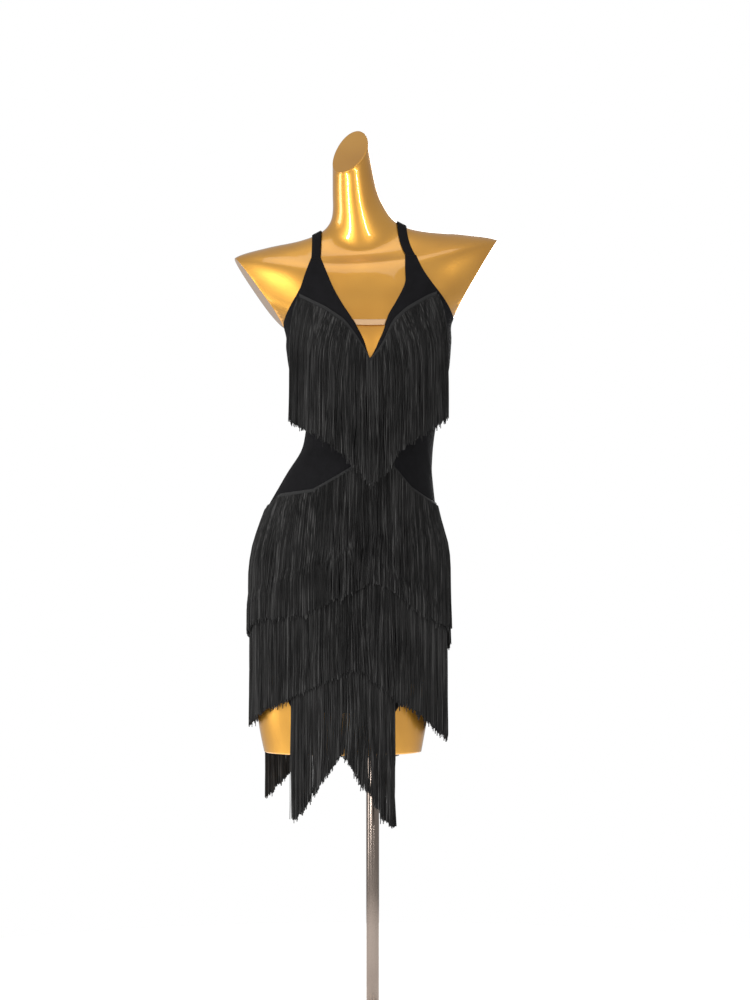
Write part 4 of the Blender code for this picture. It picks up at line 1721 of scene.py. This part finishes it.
    def dress(self, mesh: bpy.types.Mesh, count: int, chance: random.Random
              ) -> bpy.types.Object:
        """Give the strands their shades and finish.

        Args:
            mesh: the joined tubes, strand after strand.
            count: how many strands there are.
            chance: the tier's own random numbers.

        Returns:
            The finished piece.
        """
        mesh.name = f"strands_{self.name}"
        each = len(mesh.vertices) // count
        shades = [chance.random() for _ in range(count)]
        mark = mesh.attributes.new(STRAND_MARK, "FLOAT", "POINT")
        mark.data.foreach_set("value", [shade for shade in shades for _ in range(each)])
        mesh.polygons.foreach_set("use_smooth", [True] * len(mesh.polygons))
        mesh.materials.clear()
        mesh.materials.append(YARN.material())
        thing = bpy.data.objects.new(mesh.name, mesh)
        bpy.context.scene.collection.objects.link(thing)
        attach(thing, BODY)
        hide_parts(f"fringe_{self.name}")
        return thing


# ---------------------------------------------------------------- straps and bar

@dataclass
class ShoulderStrap:
    """A ribbon from the top of a halter front, over the shoulder, down to the back."""

    side: Side
    front_height: float
    front: float
    top: float
    back: float
    flat: tuple[float, float]
    width: float = 0.0152
    centre: tuple[float, float] = (0.012, 1.300)
    sweep: float = 165.0
    lift: float = 0.0022
    wall: float = 0.0013
    back_height: float = 1.1752
    overlap: float = 0.0015
    turned_down: float = 0.0006

    def across(self, swing: float) -> float:
        """How far across it runs; swing is -1 at the front, 0 on top, 1 at the back.

        Args:
            swing: place over the shoulder, from -1 to 1.

        Returns:
            Place from side to side, in metres.
        """
        if swing < 0.0:
            return self.top + (self.front - self.top) * swing ** 2
        return self.top + (self.back - self.top) * swing

    def hit(self, form: Below, across: float, angle: float, lift: float) -> Vector:
        """The point above the form at an angle from straight up, seen from the shoulder.

        Args:
            form: the form it lies on.
            across: place from side to side, in metres.
            angle: angle from straight up, in radians.
            lift: distance above the form, in metres.

        Returns:
            The point.
        """
        centre = Vector((across, *self.centre))
        way = Vector((0.0, math.sin(angle), math.cos(angle)))
        found, normal, _, _ = form.tree.ray_cast(centre + way * REACH, -way, REACH)
        if normal.dot(way) < 0.0:
            normal = -normal
        return found + normal * lift

    def angle_at(self, form: Below, across: float, height: float, way: float) -> float:
        """The angle, to the front or the back, at which the strap reaches a height.

        Args:
            form: the form it lies on.
            across: place from side to side, in metres.
            height: height above the floor, in metres.
            way: -1 or 1, to the front or the back.

        Returns:
            The angle, in radians.
        """
        low, high = 0.0, math.radians(self.sweep)
        for _ in range(HALVINGS):
            middle = 0.5 * (low + high)
            if self.hit(form, across, middle * way, self.lift).z > height:
                low = middle
            else:
                high = middle
        return 0.5 * (low + high) * way

    def build(self, form: Below) -> bpy.types.Object:
        """Lay the ribbon, with its edges turned down a little.

        Args:
            form: the form it lies on.

        Returns:
            The strap.
        """

        def point(u: float, v: float) -> Vector:
            """Point of the strap.

            Args:
                u: share of the way along, from 0 to 1.
                v: share of the way down, from 0 to 1.

            Returns:
                The point.
            """
            aside = (u - 0.5) * self.width
            first = self.angle_at(form, self.front + aside,
                                  self.front_height + self.overlap, -1.0)
            last = self.angle_at(form, self.back + aside, self.back_height, 1.0)
            angle = first + (last - first) * v
            swing = -angle / first if angle < 0.0 else angle / last
            turned = self.turned_down * (2.0 * u - 1.0) ** 4
            return self.hit(form, self.across(swing) + aside, angle, self.lift - turned)

        lattice = Lattice(8, 84)
        lattice.move(point)
        thing = lattice.finish(f"shoulder_strap_{self.side.value}", JERSEY, self.wall)
        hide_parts(f"strap_{self.side.value}")
        return thing


@dataclass
class NeckElastic:
    """The straight elastic between the two necklines."""

    level: float = 1.2235
    height: float = 0.0095
    wall: float = 0.0013
    under: float = 0.0012
    sag: float = 0.0004

    def edge(self, rows: Sequence[Row], height: float) -> float:
        """Neckline of a halter front at a height."""
        marks = [Mark(row.height, row.inner) for row in reversed(rows) if row.inner is not None]
        return level_of(marks, height)

    def end(self, form: Below, rows: Sequence[Row], inwards: float, height: float) -> Vector:
        """Where the elastic meets a neckline.

        Args:
            form: the form it lies on.
            rows: rows of the halter front.
            inwards: -1 or 1, towards the middle.
            height: height above the floor, in metres.

        Returns:
            The end's point.
        """
        across = self.edge(rows, height) + inwards * self.under
        found, normal = form.look(form.turn_at(across, height), height)
        return found + normal * CLOTH_LIFT

    def build(self, form: Below) -> bpy.types.Object:
        """Stretch it straight, with a very slight sag.

        Args:
            form: the form it lies on.

        Returns:
            The elastic.
        """

        def point(u: float, v: float) -> Vector:
            """Point of the elastic.

            Args:
                u: share of the way along, from 0 to 1.
                v: share of the way down, from 0 to 1.

            Returns:
                The point.
            """
            height = self.level + self.height * (0.5 - v)
            left = self.end(form, HALTER_LEFT, 1.0, height)
            right = self.end(form, HALTER_RIGHT, -1.0, height)
            sag = self.sag * math.sin(math.pi * u)
            return left.lerp(right, u) - Vector((0.0, 0.0, sag))

        lattice = Lattice(28, 6)
        lattice.move(point)
        thing = lattice.finish("neck_elastic", ELASTIC, self.wall)
        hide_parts("neck_bar")
        return thing


# ---------------------------------------------------------------- the dress

@dataclass
class Dress:
    """The whole dress on its form, built from the body outwards."""

    form: Below
    below: Below = field(default_factory=Below)
    made: dict[str, bpy.types.Object] = field(default_factory=dict)

    def panels(self) -> list[Panel]:
        """The five jersey panels.

        Returns:
            The panels.
        """
        front_waist = Outline(self.form, TIER_2_FRONT, -SIDE_TURN, SIDE_TURN)
        back_waist = Outline(self.form, TIER_2_BACK, SIDE_TURN, 3.0 * SIDE_TURN)
        front_hem = Outline(self.form, HEM_FRONT, -SIDE_TURN, SIDE_TURN)
        back_hem = Outline(self.form, HEM_BACK, SIDE_TURN, 3.0 * SIDE_TURN)

        def seam(outline: Outline) -> Callable[[float], float]:
            """Height rule of a waist seam."""
            return lambda turn: outline.height(turn) - TAPE_DROP / 2

        left = HalterFront(Side.LEFT, HALTER_LEFT).rule(self.form)
        right = HalterFront(Side.RIGHT, HALTER_RIGHT).rule(self.form)
        low_back = between_rule(lambda turn: level_of(BACK_TOP, turn), seam(back_waist),
                                SIDE_TURN, 3.0 * SIDE_TURN)
        front = between_rule(seam(front_waist), front_hem.height, -SIDE_TURN, SIDE_TURN)
        back = between_rule(seam(back_waist), back_hem.height, SIDE_TURN, 3.0 * SIDE_TURN)
        return [
            Panel("halter_left", "bodice_front_left", left, 44, 96, (0.225, 0.43), 0.058,
                  LEFT_CREASES),
            Panel("halter_right", "bodice_front_right", right, 44, 96, (0.225, 0.43), 0.058,
                  RIGHT_CREASES),
            Panel("low_back", "bodice_back", low_back, 96, 56, (0.36, 0.29), 0.075,
                  BACK_CREASES),
            Panel("skirt_front_panel", "skirt_front", front, 96, 70, (0.42, 0.44), 0.125),
            Panel("skirt_back_panel", "skirt_back", back, 96, 70, (0.42, 0.40), 0.125),
        ]

    def tiers(self) -> list[tuple[FringeTier, FringeTier]]:
        """The tiers from the hem up, in pairs that do not touch.

        Returns:
            The pairs.
        """
        front = (-SIDE_TURN, SIDE_TURN)
        back = (SIDE_TURN, 3.0 * SIDE_TURN)
        thin = Strands(pitch=0.0019)
        return [
            (FringeTier("4_front", TIER_4_FRONT, None, HEM_FRINGE_LENGTH, 1.0, 41),
             FringeTier("4_back", TIER_4_BACK, None, HEM_FRINGE_LENGTH, 1.0, 42, thin)),
            (FringeTier("3_front", TIER_3_FRONT, front, FRINGE_LENGTH, 1.0, 31),
             FringeTier("3_back", TIER_3_BACK, back, FRINGE_LENGTH, 1.0, 32)),
            (FringeTier("2_front", TIER_2_FRONT, front, FRINGE_LENGTH, 1.0, 21),
             FringeTier("2_back", TIER_2_BACK, back, FRINGE_LENGTH, 1.0, 22)),
            (FringeTier("1_left", TIER_1_LEFT, None, FRINGE_LENGTH, 1.22, 11),
             FringeTier("1_right", TIER_1_RIGHT, None, FRINGE_LENGTH, 1.34, 12)),
        ]

    def build(self) -> None:
        """Lay the panels, straps and elastic, then hang the tiers."""
        panels = self.panels()
        for panel in panels:
            self.made[panel.name] = panel.build(self.form)
        straps = (
            ShoulderStrap(Side.LEFT, 1.333, -0.0951, -0.0940, -0.052, (0.0155, 0.35)),
            ShoulderStrap(Side.RIGHT, 1.338, 0.0637, 0.0480, 0.043, (0.0155, 0.35)),
        )
        for strap in straps:
            report(strap.build(self.form))
        elastic = NeckElastic().build(self.form)
        report(elastic)
        bpy.context.view_layer.update()
        self.below.add_faces(self.form.points, self.form.faces)
        for panel in panels:
            self.below.add(self.made[panel.name])
        sewn = self.hang_tiers()
        sewn["halter_left"].append(elastic)
        for panel in panels:
            panel.pieces = sewn[panel.name]
            panel.declare(self.made[panel.name])
            report(self.made[panel.name])

    def hang_tiers(self) -> dict[str, list[bpy.types.Object]]:
        """Hang every tier, and say which panel each is sewn to.

        Returns:
            The pieces sewn to each panel, by the panel's name.
        """
        carrier = {"1_left": "halter_left", "1_right": "halter_right"}
        sewn = {name: [] for name in self.made}
        for pair in self.tiers():
            for tier in pair:
                pieces = tier.build(self.below)
                for piece in pieces:
                    report(piece)
                face = tier.name.split("_")[-1]
                sewn[carrier.get(tier.name, f"skirt_{face}_panel")].extend(pieces)
            for tier in pair:
                tier.curtain.cover(self.below)
        return sewn


LEFT_CREASES = (
    Crease(-52.0, 1.020, 32.0, 0.110, 0.010, 0.0011),
    Crease(-68.0, 1.000, 48.0, 0.080, 0.008, 0.0009),
    Crease(-34.0, 1.045, 20.0, 0.090, 0.009, 0.0007),
    Crease(-46.0, 1.270, -8.0, 0.060, 0.005, 0.0005),
)
RIGHT_CREASES = (
    Crease(55.0, 1.030, -30.0, 0.100, 0.010, 0.0010),
    Crease(70.0, 0.985, -52.0, 0.075, 0.009, 0.0010),
    Crease(38.0, 1.010, -18.0, 0.070, 0.008, 0.0006),
    Crease(44.0, 1.275, 6.0, 0.055, 0.005, 0.0005),
)
BACK_CREASES = (
    Crease(128.0, 1.035, 62.0, 0.110, 0.010, 0.0013),
    Crease(150.0, 1.060, 75.0, 0.120, 0.011, 0.0010),
    Crease(205.0, 1.040, -68.0, 0.120, 0.010, 0.0012),
    Crease(232.0, 1.010, -58.0, 0.095, 0.009, 0.0011),
    Crease(180.0, 1.000, 88.0, 0.090, 0.008, 0.0008),
)


# ---------------------------------------------------------------- studio

@dataclass(frozen=True)
class SoftBox:
    """A soft rectangular lamp: where it stands, what it faces, its size and its power."""

    name: str
    at: tuple[float, float, float]
    towards: tuple[float, float, float]
    size: tuple[float, float]
    power: float

    def build(self) -> None:
        """Set it up."""
        lamp = bpy.data.lights.new(self.name, "AREA")
        lamp.shape = "RECTANGLE"
        lamp.size, lamp.size_y = self.size
        lamp.energy = self.power
        thing = bpy.data.objects.new(self.name, lamp)
        thing.location = self.at
        way = Vector(self.towards) - Vector(self.at)
        thing.rotation_euler = way.to_track_quat("-Z", "Y").to_euler()
        bpy.context.scene.collection.objects.link(thing)


@dataclass
class Studio:
    """Pale floor, pale surroundings, soft lamps and the camera."""

    floor_radius: float = 1.45
    lens: float = 105.9
    sensor: float = 36.0
    camera_at: tuple[float, float, float] = (0.004, -5.0, 0.928)
    room: tuple[float, float, float] = (0.45, 0.45, 0.45)
    backdrop: tuple[float, float, float] = (1.0, 1.0, 1.0)
    boxes: tuple[SoftBox, ...] = (
        SoftBox("key", (-1.7, -2.6, 1.5), (0.0, 0.0, 1.05), (0.30, 2.2), 62.0),
        SoftBox("strip", (1.05, -2.9, 1.5), (0.0, 0.0, 1.10), (0.10, 2.0), 30.0),
        SoftBox("left_side", (-2.8, -0.5, 1.1), (0.0, 0.0, 1.00), (0.7, 2.0), 22.0),
        SoftBox("top", (-0.3, -0.7, 3.4), (0.0, 0.0, 1.20), (1.4, 1.0), 5.0),
        SoftBox("back", (0.8, 2.8, 1.6), (0.0, 0.0, 1.00), (1.6, 1.6), 40.0),
    )

    def build_floor(self) -> None:
        """A wide round floor."""
        shape = bmesh.new()
        bmesh.ops.create_circle(shape, cap_ends=True, segments=96, radius=self.floor_radius)
        mesh = bpy.data.meshes.new("studio_floor")
        shape.to_mesh(mesh)
        shape.free()
        mesh.materials.append(PAPER.material())
        floor = bpy.data.objects.new("studio_floor", mesh)
        bpy.context.scene.collection.objects.link(floor)

    def build_room(self) -> None:
        """Even light from all round, and a white backdrop where nothing stands."""
        world = bpy.data.worlds.new("room")
        world.use_nodes = True
        bpy.context.scene.world = world
        tree = world.node_tree
        soft = tree.nodes["Background"]
        soft.inputs["Color"].default_value = (*self.room, 1.0)
        white = tree.nodes.new("ShaderNodeBackground")
        white.inputs["Color"].default_value = (*self.backdrop, 1.0)
        seen = tree.nodes.new("ShaderNodeLightPath")
        mix = tree.nodes.new("ShaderNodeMixShader")
        tree.links.new(seen.outputs["Is Camera Ray"], mix.inputs[0])
        tree.links.new(soft.outputs[0], mix.inputs[1])
        tree.links.new(white.outputs[0], mix.inputs[2])
        tree.links.new(mix.outputs[0], tree.nodes["World Output"].inputs["Surface"])

    def build_camera(self) -> None:
        """A level camera in front."""
        lens = bpy.data.cameras.new("front_camera")
        lens.lens = self.lens
        lens.sensor_width = self.sensor
        camera = bpy.data.objects.new("front_camera", lens)
        camera.location = self.camera_at
        camera.rotation_euler = (0.5 * math.pi, 0.0, 0.0)
        bpy.context.scene.collection.objects.link(camera)
        bpy.context.scene.camera = camera

    def build(self) -> None:
        """Set up floor, room, lamps and camera, and show colours as they are."""
        bpy.context.scene.view_settings.view_transform = "Standard"
        self.build_floor()
        self.build_room()
        for box in self.boxes:
            box.build()
        self.build_camera()


def main() -> None:
    """Build the studio, the form and stand, and then the dress from the body outwards."""
    logging.basicConfig(level=logging.INFO, format="%(message)s")
    Studio().build()
    for part in Stand().build():
        report(part)
    body = DressForm().build()
    report(body)
    form = Below()
    form.add(body)
    Dress(form).build()


if __name__ == "__main__":
    main()
